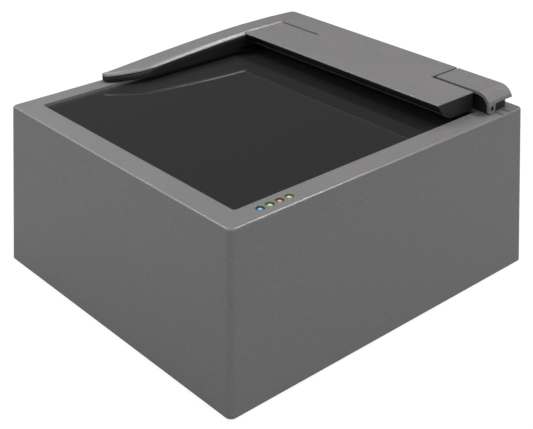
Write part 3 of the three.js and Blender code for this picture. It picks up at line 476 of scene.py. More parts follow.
# Finishes
class Finish:
    """A material with its shader and a short way to add nodes."""

    def __init__(self, name, color, roughness=0.5, metallic=0.0, specular=0.5):
        self.material = bpy.data.materials.new(name)
        self.material.use_nodes = True
        self.tree = self.material.node_tree
        self.shader = self.tree.nodes["Principled BSDF"]
        self.color = (*color, 1.0)
        self.shader.inputs["Base Color"].default_value = self.color
        self.shader.inputs["Roughness"].default_value = roughness
        self.shader.inputs["Metallic"].default_value = metallic
        self.shader.inputs["Specular IOR Level"].default_value = specular
        self.place = self.add("ShaderNodeTexCoord").outputs["Object"]

    def add(self, kind, **settings):
        node = self.tree.nodes.new(kind)
        for key, value in settings.items():
            setattr(node, key, value)
        return node

    def link(self, start, end):
        self.tree.links.new(start, end)

    def noise(self, size, detail=3.0, stretch=(1, 1, 1)):
        """Noise with grains of a size in millimetres."""
        mapping = self.add("ShaderNodeMapping")
        mapping.inputs["Scale"].default_value = stretch
        self.link(self.place, mapping.inputs["Vector"])
        noise = self.add("ShaderNodeTexNoise")
        noise.inputs["Scale"].default_value = 1 / (size * MM)
        noise.inputs["Detail"].default_value = detail
        self.link(mapping.outputs["Vector"], noise.inputs["Vector"])
        return noise.outputs["Fac"]

    def span(self, value, low=0.0, high=1.0, source=(0.3, 0.7)):
        """A value spread from its source range to another."""
        node = self.add("ShaderNodeMapRange")
        node.inputs["From Min"].default_value = source[0]
        node.inputs["From Max"].default_value = source[1]
        node.inputs["To Min"].default_value = low
        node.inputs["To Max"].default_value = high
        self.link(value, node.inputs["Value"])
        return node.outputs["Result"]

    def bump(self, *layers):
        """Bumps from (height, depth in mm) pairs, each over the last."""
        normal = None
        for height, depth in layers:
            node = self.add("ShaderNodeBump")
            node.inputs["Strength"].default_value = 1.0
            node.inputs["Distance"].default_value = depth * MM
            self.link(height, node.inputs["Height"])
            if normal:
                self.link(normal, node.inputs["Normal"])
            normal = node.outputs["Normal"]
        self.link(normal, self.shader.inputs["Normal"])

    def mottle(self, value, amount):
        """Base colour a little darker and lighter by a value."""
        mix = self.add("ShaderNodeMix", data_type="RGBA")
        mix.inputs["A"].default_value = (*[c * (1 - amount) for c in self.color[:3]], 1.0)
        mix.inputs["B"].default_value = (*[min(c * (1 + amount), 1) for c in self.color[:3]], 1.0)
        self.link(value, mix.inputs["Factor"])
        self.link(mix.outputs["Result"], self.shader.inputs["Base Color"])

    def sheen_spread(self, value, low, high):
        """Roughness between two limits by a value."""
        self.link(self.span(value, low, high), self.shader.inputs["Roughness"])


def textured_grey():
    finish = Finish("textured_grey", (0.222, 0.224, 0.224), specular=0.75)
    fine = finish.noise(size=0.32, detail=2.0)
    coarse = finish.noise(size=0.9)
    cloud = finish.noise(size=28.0, detail=2.0)
    finish.mottle(finish.span(coarse), amount=0.12)
    finish.sheen_spread(cloud, low=0.26, high=0.32)
    finish.bump((coarse, 0.012), (fine, 0.01))
    return finish.material


def satin_black():
    finish = Finish("satin_black", (0.0085, 0.0075, 0.0075), roughness=0.42)
    fine = finish.noise(size=0.25, detail=2.0)
    cloud = finish.noise(size=18.0, detail=2.0)
    finish.mottle(finish.span(fine), amount=0.15)
    finish.sheen_spread(cloud, low=0.38, high=0.46)
    finish.bump((fine, 0.008))
    return finish.material


def tinted_glass():
    finish = Finish("tinted_glass", (0.03, 0.03, 0.031), roughness=0.04)
    smear = finish.noise(size=22.0, detail=4.0, stretch=(1, 0.35, 1))
    finish.sheen_spread(smear, low=0.03, high=0.075)
    finish.bump((finish.noise(size=60.0, detail=1.0), 0.01))
    return finish.material


def soft_rubber(name, color):
    finish = Finish(name, color, roughness=0.75)
    fine = finish.noise(size=0.2)
    finish.mottle(fine, amount=0.25)
    finish.sheen_spread(finish.noise(size=6.0), low=0.65, high=0.85)
    finish.bump((fine, 0.02))
    return finish.material


def brushed_steel(name, grain):
    finish = Finish(name, (0.56, 0.56, 0.57), roughness=0.3, metallic=1.0)
    lines = finish.noise(size=0.12, detail=2.0, stretch=grain)
    finish.sheen_spread(lines, low=0.22, high=0.4)
    finish.mottle(lines, amount=0.08)
    finish.bump((lines, 0.004))
    return finish.material


def blackened_steel():
    finish = Finish("blackened_steel", (0.05, 0.05, 0.052), roughness=0.35, metallic=0.9)
    fine = finish.noise(size=0.15)
    finish.mottle(fine, amount=0.2)
    finish.bump((fine, 0.004))
    return finish.material


def green_board():
    finish = Finish("green_board", (0.018, 0.085, 0.035), roughness=0.35)
    tracks = finish.add("ShaderNodeTexBrick")
    tracks.inputs["Scale"].default_value = 180
    tracks.inputs["Mortar Size"].default_value = 0.03
    finish.link(finish.place, tracks.inputs["Vector"])
    finish.mottle(tracks.outputs["Fac"], amount=0.3)
    finish.sheen_spread(finish.noise(size=2.0), low=0.3, high=0.42)
    finish.bump((tracks.outputs["Fac"], 0.02))
    return finish.material


def lens_coating():
    finish = Finish("lens_coating", (0.02, 0.03, 0.07), roughness=0.05)
    finish.sheen_spread(finish.noise(size=5.0), low=0.03, high=0.07)
    finish.shader.inputs["Coat Weight"].default_value = 1.0
    return finish.material


def pale_plastic():
    finish = Finish("pale_plastic", (0.62, 0.6, 0.56))
    fine = finish.noise(size=0.3)
    finish.mottle(fine, amount=0.04)
    finish.bump((fine, 0.01))
    return finish.material


def lamp_lens(name, x, y, glow, rim):
    """Tinted lens of a status light: the bright middle is the light's own glow, painted into the base colour
    and given a weak emission, and the dark rim is painted shade from the wall of its hole.
    """
    finish = Finish(name, glow, roughness=0.22)
    mapping = finish.add("ShaderNodeMapping")
    mapping.inputs["Location"].default_value = (-x * MM, -y * MM, 0)
    finish.link(finish.place, mapping.inputs["Vector"])
    flat = finish.add("ShaderNodeVectorMath", operation="MULTIPLY")
    flat.inputs[1].default_value = (1, 1, 0)
    finish.link(mapping.outputs["Vector"], flat.inputs[0])
    reach = finish.add("ShaderNodeVectorMath", operation="LENGTH")
    finish.link(flat.outputs["Vector"], reach.inputs[0])
    share = finish.span(reach.outputs["Value"], source=(0.0, LIGHT_RADIUS * MM))
    ramp = finish.add("ShaderNodeValToRGB")
    centre, edge = ramp.color_ramp.elements
    centre.position = 0.2
    centre.color = (*[0.5 + 0.5 * part for part in glow], 1)
    # the rim takes the painted shade that the hole's wall casts on the lens
    edge.position = 0.9
    edge.color = (*rim, 1)
    middle = ramp.color_ramp.elements.new(0.5)
    middle.color = (*glow, 1)
    finish.link(share, ramp.inputs["Fac"])
    finish.link(ramp.outputs["Color"], finish.shader.inputs["Base Color"])
    finish.link(ramp.outputs["Color"], finish.shader.inputs["Emission Color"])
    finish.shader.inputs["Emission Strength"].default_value = 0.2
    finish.bump((finish.noise(size=0.6), 0.01))
    return finish.material


grey = textured_grey()
black = satin_black()
glass = tinted_glass()
gasket_rubber = soft_rubber("gasket_rubber", (0.008, 0.008, 0.008))
foot_rubber = soft_rubber("foot_rubber", (0.014, 0.014, 0.014))
steel = brushed_steel("brushed_steel", (1, 0.05, 0.05))
shell_steel = brushed_steel("plated_shell", (0.1, 1, 1))
black_steel = blackened_steel()
board = green_board()
coated_lens = lens_coating()
pale = pale_plastic()


# Housing and window
def window_block(name, grow, z, radius):
    """A rounded block over the window, wider or narrower than it on each side."""
    x, y = WINDOW
    return rounded_block(name, (x[0] - grow, x[1] + grow), (y[0] - grow, y[1] + grow), z, radius)


def build_leaning_box():
    """The housing's outer form with its lean, hollowed from below."""
    shell = block("housing_shell", (-HALF_WIDTH, HALF_WIDTH), (-HALF_DEPTH, HALF_DEPTH), (SKIRT, TOP))
    spread = (TOP - SKIRT) * DRAFT
    select_points(shell, lambda point: point.z < SKIRT + NEAR)
    stretch(((HALF_WIDTH + spread) / HALF_WIDTH, (HALF_DEPTH + spread) / HALF_DEPTH, 1), (0, 0, SKIRT))
    leave_editing()
    round_edges(shell, lambda a, b: abs(a.z - b.z) > TOP / 2, CORNER_RADIUS, 8)
    round_edges(shell, edges_above(TOP), TOP_EDGE, 4)
    round_edges(shell, edges_below(SKIRT), SKIRT_EDGE, 2)
    select_faces(shell, facing_down)
    inset(WALL - SKIRT_EDGE)
    rise = TOP - ROOF - SKIRT
    pull((0, 0, rise))
    wide = HALF_WIDTH + spread - WALL
    deep = HALF_DEPTH + spread - WALL
    stretch(((wide - rise * DRAFT) / wide, (deep - rise * DRAFT) / deep, 1), (0, 0, TOP))
    leave_editing()
    return shell


def build_housing():
    shell = build_leaning_box()
    join(shell, window_block("pocket_wall", POCKET_WALL, (POCKET_BOTTOM, TOP - 1),
                             WINDOW_CORNER + POCKET_WALL))
    cut(shell, window_block("pocket", 0, (POCKET_FLOOR, OVER_ROOF), WINDOW_CORNER),
        window_block("opening", -SEAT_WIDTH, (UNDER_ROOF, OVER_ROOF), WINDOW_CORNER))
    for y in LIGHTS_Y:
        cut(shell, post("light_hole", LIGHT_HOLE, LIGHT_X, y, (UNDER_ROOF, OVER_ROOF)))
    heights = around(SOCKETS_Z, SOCKET_HALF_HEIGHT + SOCKET_PLAY)
    for x, half_width in ((DATA_X, DATA_HALF_WIDTH), (POWER_X, POWER_HALF_WIDTH)):
        cut(shell, block("socket_cutout", around(x, half_width + SOCKET_PLAY), REAR_WALL, heights))
    for y in GROOVES_Y:
        cut(shell, block("groove", GROOVES_X, around(y, GROOVE_HALF_WIDTH), (TOP - GROOVE_DEPTH, TOP + 1)))
    finish_edges(shell, width=0.25)
    set_piece(shell, "base", "grey_housing", grey, "housing")


def build_window():
    slab = window_block("window_glass", -GLASS_GAP, (GLASS_BOTTOM, GLASS_TOP), GLASS_CORNER)
    round_edges(slab, edges_above(GLASS_TOP), GLASS_EDGE, 2)
    finish_edges(slab, width=0)
    set_piece(slab, "base", "dark_glass", glass, "scan_glass")
    ring = window_block("window_gasket", -GASKET_GAP, (GASKET_BOTTOM, GASKET_TOP), GASKET_CORNER)
    cut(ring, window_block("gasket_hole", -GASKET_WIDTH, (GASKET_BOTTOM - PAST, OVER_ROOF), GLASS_CORNER))
    finish_edges(ring)
    set_piece(ring, "base", "gasket_rubber", gasket_rubber, "glass_gasket")


# Slot, glow and rim colour of each status light, from the front; the dark rim colour is painted shade from
# the wall of the light's hole
LIGHT_TONES = (
    ("light_blue", (0.02, 0.2, 0.36), (0.006, 0.012, 0.02)),
    ("light_green", (0.17, 0.42, 0.08), (0.012, 0.012, 0.016)),
    ("light_orange", (0.34, 0.1, 0.035), (0.1, 0.03, 0.02)),
    ("light_green", (0.24, 0.4, 0.08), (0.1, 0.03, 0.025)),
)
LIGHT_DOME = ((0.25, 0.16), (0.5, 0.1), (0.6, 0.04))


def build_lights():
    for i, (y, (slot, glow, rim)) in enumerate(zip(LIGHTS_Y, LIGHT_TONES), 1):
        pipe = post(f"light_pipe_{i}", LIGHT_RADIUS, LIGHT_X, y, (LIGHT_BOTTOM, LIGHT_RIM))
        select_faces(pipe, facing_up)
        for width, rise in LIGHT_DOME:
            inset(width)
            move((0, 0, rise))
        leave_editing()
        finish_edges(pipe, width=0, angle=50)
        set_piece(pipe, "base", slot, lamp_lens(f"status_lens_{i}", LIGHT_X, y, glow, rim),
                  f"status_light_{i}")


# Hood
def arm_top(y):
    """Height of the arm's top, which climbs from its tip to the rear rim."""
    share = min(max((y - ARM_TIP) / ARM_CLIMB, 0), 1)
    return RIM_TOP - (RIM_TOP - TOP - TIP_HEIGHT) * (1 - share) ** CLIMB_POWER


def arm_section(y):
    """Outline of the arm: its inner top edge is rounded, more widely where the tip flares."""
    lack = 1 - min((y - ARM_TIP) / TIP_FLARE, 1)
    width = ARM_WIDTH - (ARM_WIDTH - TIP_WIDTH) * lack ** FLARE_POWER
    slope = (ARM_WIDTH - TIP_WIDTH) * FLARE_POWER * lack ** (FLARE_POWER - 1) / TIP_FLARE
    nose = min((y - ARM_TIP) / NOSE_LENGTH, 1)
    width *= NOSE_SHARE + (1 - NOSE_SHARE) * math.sqrt(nose * (2 - nose))
    left, right, high = HOOD_X[0], HOOD_X[0] + width, arm_top(y)
    reach = min(ARM_EDGE * math.hypot(1, slope), 0.85 * width)
    outer = min(ARM_OUTER_EDGE, 0.15 * width)
    foot = min(ARM_FOOT_EDGE, 0.12 * width)
    points = [(left, HOOD_LOW), (right - foot, HOOD_LOW), (right, HOOD_LOW + foot)]
    for x, z in arc((0, 0), 1, 0, 90, 12):
        points.append((right - reach + reach * x, high - ARM_EDGE + ARM_EDGE * z))
    points += arc((left + outer, high - outer), outer, 90, 180, 6)
    return [Vector((x, y, z)) for x, z in points]


def build_narrow_arm():
    """The arm grows from its tip, section by section, in short steps where its outline turns."""
    y = ARM_TIP
    section = arm_section(y)
    arm = drawn("narrow_arm", section)
    for reach in ARM_REACHES:
        station = ARM_TIP + reach
        select_faces(arm, lambda centre, normal: centre.y > y - NEAR and abs(normal.y) > FLAT)
        pull((0, station - y, 0))
        grown = arm_section(station)
        for old, new in zip(section, grown):
            place_point(arm, Vector((old.x, station, old.z)), new)
        leave_editing()
        section, y = grown, station
    start_editing(arm, "FACE")
    face_outward()
    leave_editing()
    return arm


def rear_edge(high):
    """Barrel below, upright face, small rounding above."""
    return (arc((AXIS_Y, AXIS_Z), BARREL, -90, 0, 12)
            + arc((HOOD_Y[1] - REAR_EDGE, high - REAR_EDGE), REAR_EDGE, 0, 90, 6))


def wide_section():
    """Outline of the wide arm: a lip, a curved lead-in with a small ledge, and the rear edge."""
    front, lip = HOOD_Y[0], HOOD_TOP - LIP
    points = [(front, HOOD_TOP), (front, lip)]
    curve = ((front, lip), (front + LEAD_TURN[0], TOP + LEAD_TURN[1]), (front + LEAD_IN, HOOD_LOW))
    for i in range(1, LEAD_STEPS + 1):
        t = i / LEAD_STEPS
        y, z = (a * (1 - t) ** 2 + b * 2 * t * (1 - t) + c * t * t for a, b, c in zip(*curve))
        if i == LEDGE_STEP:
            points.append((y, z + LEDGE))
        points.append((y - LEDGE if i >= LEDGE_STEP else y, z))
    return points + rear_edge(HOOD_TOP)


def build_rear_rim():
    """The raised rim grows from its rounded left edge and runs out into the wide arm's section."""
    section = [(RIM_FRONT, HOOD_LOW), *rear_edge(HOOD_TOP - RIM_EDGE), (RIM_FRONT, RIM_TOP - RIM_EDGE)]
    x, lift = HOOD_X[0], 0
    rim = drawn("rear_rim", [(x, y, z) for y, z in section])

    def select_end():
        select_faces(rim, lambda centre, normal: centre.x > x - NEAR and abs(normal.x) > FLAT)

    for step in range(1, 7):
        angle = math.radians(15 * step)
        reach, rise = HOOD_X[0] + RIM_EDGE * (1 - math.cos(angle)), RIM_EDGE * math.sin(angle)
        select_end()
        pull((reach - x, 0, 0))
        select_points(rim, lambda point: point.x > reach - NEAR and point.z > AXIS_Z + 1)
        move((0, 0, rise - lift))
        leave_editing()
        x, lift = reach, rise
    select_end()
    pull((RIM_END - RIM_RAMP - x, 0, 0))
    pull((RIM_RAMP, 0, 0))
    select_points(rim, lambda point: point.x > RIM_END - NEAR and point.z > HOOD_TOP + NEAR)
    move((0, 0, -RIM_STEP))
    face_outward()
    leave_editing()
    return rim


def corner_waste(x, side, radius):
    """What lies outside an upright rounded corner at the hood's rear."""
    y = HOOD_Y[1] - radius
    span = sorted((x - side * radius, x + side))
    waste = block("corner_waste", span, (y, WIDE_Y[1]), WIDE_Z)
    return cut(waste, post("corner", radius, x - side * radius, y, (WIDE_Z[0] - PAST, WIDE_Z[1] + PAST), 96))


def cut_rim_slot(form):
    """The narrow slot before the raised rim, with one rounded end and one square end."""
    slot = rounded_block("rim_slot", (HOOD_X[0] + HOOD_LEFT_ROUND, RIM_END - RIM_SLOT_END),
                         (RIM_FRONT - RIM_SLOT_WIDTH, RIM_FRONT),
                         (HOOD_TOP - RIM_SLOT_DEPTH, WIDE_Z[1]), RIM_SLOT_ROUND)
    cut(slot, block("slot_end", (WIDE_X[0], ARM_INNER + 0.6), WIDE_Y, (TOP, WIDE_Z[1] + PAST)))
    cut(form, slot)


def build_hood_form():
    """Cap and tray in one: the wide arm, the narrow arm and the rear rim, with their cut-outs."""
    left = HOOD_X[0] + HOOD_LEFT_ROUND
    form = drawn("hood_form", [(left, y, z) for y, z in wide_section()], (HOOD_X[1] - left, 0, 0))
    on_top = edges_above(HOOD_TOP)
    round_edges(form, lambda a, b: on_top(a, b) and max(a.y, b.y) < HOOD_Y[0] + NEAR, 0.45, 4)
    round_edges(form, lambda a, b: on_top(a, b) and min(a.x, b.x) > HOOD_X[1] - NEAR, 0.3, 2)
    cut(form, block("rim_room", (WIDE_X[0], RIM_END), (RIM_FRONT + 1, WIDE_Y[1]), WIDE_Z))
    join(form, build_narrow_arm(), build_rear_rim())
    cut_rim_slot(form)
    cut(form, corner_waste(HOOD_X[0], -1, HOOD_CORNER))
    cut(form, block("hinge_notch", (NOTCH[0], WIDE_X[1]), (NOTCH[1], WIDE_Y[1]), WIDE_Z))
    cut(form, corner_waste(NOTCH[0], 1, NOTCH_CORNER))
    return form


def seam_tool(lift):
    """Everything above the seam between the cap and the tray."""
    drop = lift - CAP_THICKNESS
    back = AXIS_Y - BARREL / 2
    start, length, steps = ARM_TIP - 3, 100, 40
    points = [(WIDE_Y[1], WIDE_Z[1]), (start, WIDE_Z[1])]
    for i in range(steps + 1):
        y = start + length * i / steps
        points.append((y, arm_top(y) + drop))
    reach, rise = HOOD_Y[1] - back, RIM_TOP + drop - AXIS_Z
    for y, z in arc((0, 0), 1, 90, 0, 12):
        points.append((back + reach * y, AXIS_Z + rise * z))
    points.append((WIDE_Y[1], AXIS_Z))
    above = drawn("above_seam", [(WIDE_X[0], y, z) for y, z in points], (WIDE_X[1] - WIDE_X[0], 0, 0))
    right, rear = WIDE_X[1] + PAST, WIDE_Y[1] + PAST
    low_edge = HOOD_TOP - CAP_FRONT + lift
    cut(above, block("front_step", (ARM_INNER + 4, right), (WIDE_Y[0], HOOD_Y[0] + CAP_FRONT_DEPTH),
                     (TOP - PAST, low_edge)))
    return cut(above, block("end_step", (HOOD_X[1] - CAP_END_WIDTH, right), (WIDE_Y[0], rear),
                            (TOP - PAST - 1, low_edge)))


def build_hood():
    form = build_hood_form()
    cap = copy_of(form, "hood_top_cap")
    combine(cap, seam_tool(HALF_SEAM), "INTERSECT")
    finish_edges(cap, width=0.12, angle=30)
    set_piece(cap, "hood", "grey_housing", grey, "hood_cap")

    form.name = "hood_lower_tray"
    cut(form, seam_tool(-HALF_SEAM))
    cut(form, block("tray_room", (ARM_INNER, HOOD_X[1] - END_WALL), (WIDE_Y[0], TRAY_REAR),
                    (TOP - PAST, SLOT_TOP)))
    cut(form, bar("shaft_bore", SLEEVE_BORE, (SHAFT_X[0] - 1, NOTCH[0] + PAST), AXIS_Y, AXIS_Z))
    for x, y in HOOD_SCREWS:
        cut(form, screw_hole(x, y))
    for y in BUMPERS_Y:
        cut(form, post("bumper_hole", BUMPER_HOLE, BUMPER_X, y, (TOP - PAST, BUMPER_SEAT)))
    finish_edges(form, width=0.3, angle=32)
    set_piece(form, "hood", "black_plastic", black, "hood_tray")


def screw_hole(x, y):
    """A hole for a hood screw, with a countersink a little wider than the head."""
    wide, narrow = SCREW_HEAD + 0.2, SCREW_RADIUS + 0.3
    hole = post("screw_hole", wide, x, y, (SLOT_TOP - PAST, SLOT_TOP + SCREW_HEAD_HEIGHT), 48)
    select_faces(hole, facing_up)
    stretch((narrow / wide, narrow / wide, 1), (x, y, SLOT_TOP))
    pull((0, 0, HOOD_SCREW_LENGTH - SCREW_HEAD_HEIGHT + 0.2))
    leave_editing()
    return hole


def build_screw(name, x, y, z, length, body, node):
    """A countersunk screw seen from below, with a cross recess."""
    screw = post(name, SCREW_HEAD, x, y, (z, z + SCREW_HEAD_HEIGHT), 48)
    select_faces(screw, facing_up)
    stretch((SCREW_RADIUS / SCREW_HEAD, SCREW_RADIUS / SCREW_HEAD, 1), (x, y, z))
    pull((0, 0, length - SCREW_HEAD_HEIGHT))
    leave_editing()
    for width, depth in (SCREW_CROSS, SCREW_CROSS[::-1]):
        cut(screw, block("cross", around(x, width / 2), around(y, depth / 2),
                         (z - PAST, z + SCREW_CROSS_DEPTH)))
    finish_edges(screw, width=0.08, angle=30)
    set_piece(screw, body, "steel", steel, node)


# Hinge
def build_hinge_cover():
    """A bent strap whose right end comes down as one leg, with the skirt behind it cut away."""
    (left, right), (front, rear) = COVER_X, COVER_Y
    bend = (right - COVER_BEND, HOOD_TOP - COVER_BEND)
    outer = [(left, HOOD_TOP), *arc(bend, COVER_BEND, 90, 0, 20), (right, COVER_LOW)]
    inner = [(right - COVER_SHEET, COVER_LOW), *arc(bend, COVER_BEND - COVER_SHEET, 0, 90, 20),
             (left, HOOD_TOP - COVER_SHEET)]
    cover = drawn("hinge_cover_strap", [(x, front, z) for x, z in outer + inner], (0, rear - front, 0))
    leg, turn = front + LEG_WIDTH, LEG_NOTCH_RADIUS
    notch = [(rear + PAST, TOP - PAST), (rear + PAST, LEG_NOTCH_TOP)]
    notch += arc((leg + turn, LEG_NOTCH_TOP - turn), turn, 90, 180, 6)
    notch += arc((leg - turn, COVER_LOW + turn), turn, 0, -90, 6)
    notch += arc((front + turn, COVER_LOW + turn), turn, -90, -180, 6)
    notch += [(front - PAST, COVER_LOW + turn), (front - PAST, TOP - PAST)]
    cut(cover, drawn("skirt_notch", [(bend[0], y, z) for y, z in notch], (COVER_BEND + PAST, 0, 0)))
    cut(cover, bar("screw_seat", LEG_SCREW_RADIUS + 0.15, (right - 3, right + PAST), *LEG_SCREW, 32))
    finish_edges(cover, width=0.35, steps=3, angle=32)
    set_piece(cover, "base", "grey_housing", grey, "hinge_cover")


def build_hinge_block():
    """The black block that fills the cover and holds the shaft's end."""
    left, right = COVER_X[0] + BLOCK_GAPS_X[0], COVER_X[1] - BLOCK_GAPS_X[1]
    front, rear = COVER_Y[0] + BLOCK_GAPS_Y[0], COVER_Y[1] - BLOCK_GAPS_Y[1]
    bend = (right - BLOCK_BEND, BLOCK_TOP - BLOCK_BEND)
    section = [(left, TOP + 0.1), (right, TOP + 0.1), *arc(bend, BLOCK_BEND, 0, 90, 14), (left, BLOCK_TOP)]
    core = drawn("hinge_core", [(x, front, z) for x, z in section], (0, rear - front, 0))
    cut(core, block("core_step", (right - BLOCK_STEP[0], right + PAST), (front + BLOCK_STEP[1], rear + PAST),
                    (TOP - PAST, BLOCK_TOP + PAST)))
    cut(core, bar("core_bore", SHAFT_RADIUS + 0.1, (left - PAST, SHAFT_X[1] + 0.2), AXIS_Y, AXIS_Z))
    cut(core, bar("core_screw", LEG_SCREW_RADIUS + 0.2, (right - 4, right + PAST), *LEG_SCREW, 32))
    finish_edges(core, width=0.3)
    set_piece(core, "base", "black_plastic", black, "hinge_block")


def build_side_screw():
    end = COVER_X[1] + LEG_SCREW_RISE
    y, z = LEG_SCREW
    screw = bar("side_screw", LEG_SCREW_RADIUS, (end - LEG_SCREW_LENGTH, end), y, z, 32)
    for width, height in (LEG_SCREW_CROSS, LEG_SCREW_CROSS[::-1]):
        cut(screw, block("cross", (end - 0.5, end + PAST), around(y, width / 2), around(z, height / 2)))
    finish_edges(screw, width=0.08, angle=30)
    set_piece(screw, "base", "steel", black_steel, "hinge_cover_screw")


def build_shaft():
    shaft = bar("hinge_pin", SHAFT_RADIUS, SHAFT_X, AXIS_Y, AXIS_Z)
    round_edges(shaft, lambda a, b: abs(a.x - b.x) < NEAR, 0.3, 2)
    finish_edges(shaft, width=0)
    set_piece(shaft, "base", "steel", steel, "hinge_shaft")


# Underside and rear
def build_feet():
    """Round pads with a shallow ring below and a stem above."""
    for where, (x, y) in FEET.items():
        foot = post(f"rubber_foot_{where}", FOOT_RADIUS, x, y, (0, FOOT_PAD))
        round_edges(foot, edges_below(0), 0.5, 4)
        select_faces(foot, facing_down)
        for width, rise in FOOT_RING:
            inset(width)
            move((0, 0, rise))
        leave_editing()
        select_faces(foot, lambda centre, normal: facing_up(centre, normal) and centre.z > FOOT_PAD - NEAR)
        inset(FOOT_RADIUS - FOOT_STEM_RADIUS)
        pull((0, 0, FOOT_STEM))
        leave_editing()
        finish_edges(foot, width=0.12, angle=30)
        set_piece(foot, "base", "foot_rubber", foot_rubber, f"foot_{where}")


def build_data_socket():
    """A plated shell with a chamfered mouth, a pale tongue and four contacts on it."""
    x, y, z = DATA_X, SOCKETS_REAR, SOCKETS_Z
    shell = block("data_socket_shell", around(x, DATA_HALF_WIDTH), (y - DATA_DEPTH, y),
                  around(z, SOCKET_HALF_HEIGHT))
    half_width, half_height = DATA_MOUTH_HALF
    mouth = block("data_mouth", around(x, half_width), (y - SOCKET_MOUTH, y + PAST), around(z, half_height))
    round_edges(mouth, lambda a, b: abs(a.y - b.y) > 1 and min(a.z, b.z) > z, 1.6, 1)
    cut(shell, mouth)
    finish_edges(shell)
    set_piece(shell, "base", "steel", shell_steel, "usb_socket")
    half_width, half_height = TONGUE_HALF
    front = y - 1
    tongue = block("data_socket_tongue", around(x, half_width), (y - SOCKET_MOUTH, front),
                   around(z, half_height))
    round_edges(tongue, lambda a, b: min(a.y, b.y) > front - NEAR, 0.4, 3)
    finish_edges(tongue, width=0.15)
    set_piece(tongue, "base", "steel", pale)
    half_width, half_height = CONTACT_HALF
    aside, above = CONTACT_OFFSET
    for i, (side, level) in enumerate(((-1, 1), (1, 1), (-1, -1), (1, -1)), 1):
        contact = block(f"data_contact_{i}", around(x + side * aside, half_width), (y - 8.5, y - 2),
                        around(z + level * above, half_height))
        finish_edges(contact, width=0.05)
        set_piece(contact, "base", "steel", steel)


def build_power_socket():
    """A black body with a round bore and a pin in its middle."""
    x, y, z = POWER_X, SOCKETS_REAR, SOCKETS_Z
    body = block("power_socket_body", around(x, POWER_HALF_WIDTH), (y - POWER_DEPTH, y),
                 around(z, SOCKET_HALF_HEIGHT))
    cut(body, rear_bar("power_bore", POWER_BORE, x, (y - SOCKET_MOUTH, y + PAST), z))
    finish_edges(body, width=0.25)
    set_piece(body, "base", "black_plastic", black, "power_socket")
    pin = rear_bar("power_pin", POWER_PIN, x, (y - SOCKET_MOUTH, y - 1), z, 32)
    finish_edges(pin, steps=3, angle=30)
    set_piece(pin, "base", "steel", steel)


build_housing()
build_window()
build_lights()
build_hood()
build_hinge_cover()
build_hinge_block()
build_side_screw()
build_shaft()
build_feet()
build_data_socket()
build_power_socket()
for i, (x, y) in enumerate(BASE_SCREWS, 1):
    build_screw(f"plate_screw_{i}", x, y, BASE_SCREW_Z, BASE_SCREW_LENGTH, "base", f"base_screw_{i}")
for i, (x, y) in enumerate(HOOD_SCREWS, 1):
    build_screw(f"tray_screw_{i}", x, y, SLOT_TOP, HOOD_SCREW_LENGTH, "hood", f"hood_screw_{i}")

# Solids that keep their own shape
KEPT = {
    "base_plate": black, "main_board": board, "status_light_board": board, "light_tunnel": black,
    "antenna_board": board, "camera_board": board, "lens_mount": black, "lens_barrel": black,
    "front_lens": coated_lens, "friction_sleeve": steel, "shaft_bush": black,
    "hood_bumper_1": foot_rubber, "hood_bumper_2": foot_rubber,
    "lamp_bar_left": board, "lamp_bar_right": board, "lamp_bar_front": board, "lamp_bar_rear": board,
}
for node, material in KEPT.items():
    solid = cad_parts[node]
    solid.data.materials.clear()
    solid.data.materials.append(material)

# Floor and sky: white to the camera, dimmer as a light on the scanner
FLOOR_SIZE = 6
FLOOR_SEEN = (0.8, 0.8, 0.8)
FLOOR_BOUNCE = (0.2, 0.2, 0.2, 1)
FLOOR_GLOW = 1.15
GLOW_SHARE = 0.8
REFLECTED_SHARE = 0.25
SKY = 0.06


def build_floor():
    clear_selection()
    bpy.ops.mesh.primitive_plane_add(size=FLOOR_SIZE, location=(0, 0, 0))
    floor = named("studio_floor")
    finish = Finish("pale_floor", FLOOR_SEEN)
    plain = finish.add("ShaderNodeBsdfDiffuse")
    bright = finish.add("ShaderNodeEmission")
    bright.inputs["Strength"].default_value = FLOOR_GLOW
    ray = finish.add("ShaderNodeLightPath")
    seen = finish.add("ShaderNodeMath", operation="MULTIPLY_ADD", use_clamp=True)
    seen.inputs[1].default_value = REFLECTED_SHARE
    finish.link(ray.outputs["Is Glossy Ray"], seen.inputs[0])
    finish.link(ray.outputs["Is Camera Ray"], seen.inputs[2])
    tone = finish.add("ShaderNodeMix", data_type="RGBA")
    tone.inputs["A"].default_value = FLOOR_BOUNCE
    tone.inputs["B"].default_value = finish.color
    finish.link(seen.outputs["Value"], tone.inputs["Factor"])
    finish.link(tone.outputs["Result"], plain.inputs["Color"])
    glow = finish.add("ShaderNodeMath", operation="MULTIPLY")
    glow.inputs[1].default_value = GLOW_SHARE
    finish.link(seen.outputs["Value"], glow.inputs[0])
    mix = finish.add("ShaderNodeMixShader")
    finish.link(glow.outputs["Value"], mix.inputs["Fac"])
    finish.link(plain.outputs["BSDF"], mix.inputs[1])
    finish.link(bright.outputs["Emission"], mix.inputs[2])
    finish.link(mix.outputs["Shader"], finish.tree.nodes["Material Output"].inputs["Surface"])
    finish.tree.nodes.remove(finish.shader)
    floor.data.materials.append(finish.material)


def build_sky():
    world = bpy.data.worlds.new("studio")
    bpy.context.scene.world = world
    world.use_nodes = True
    tree = world.node_tree
    soft = tree.nodes["Background"]
    soft.inputs["Color"].default_value = (1, 1, 1, 1)
    soft.inputs["Strength"].default_value = SKY
    white = tree.nodes.new("ShaderNodeBackground")
    white.inputs["Strength"].default_value = 1.0
    ray = tree.nodes.new("ShaderNodeLightPath")
    mix = tree.nodes.new("ShaderNodeMixShader")
    tree.links.new(ray.outputs["Is Camera Ray"], mix.inputs["Fac"])
    tree.links.new(soft.outputs["Background"], mix.inputs[1])
    tree.links.new(white.outputs["Background"], mix.inputs[2])
    tree.links.new(mix.outputs["Shader"], tree.nodes["World Output"].inputs["Surface"])


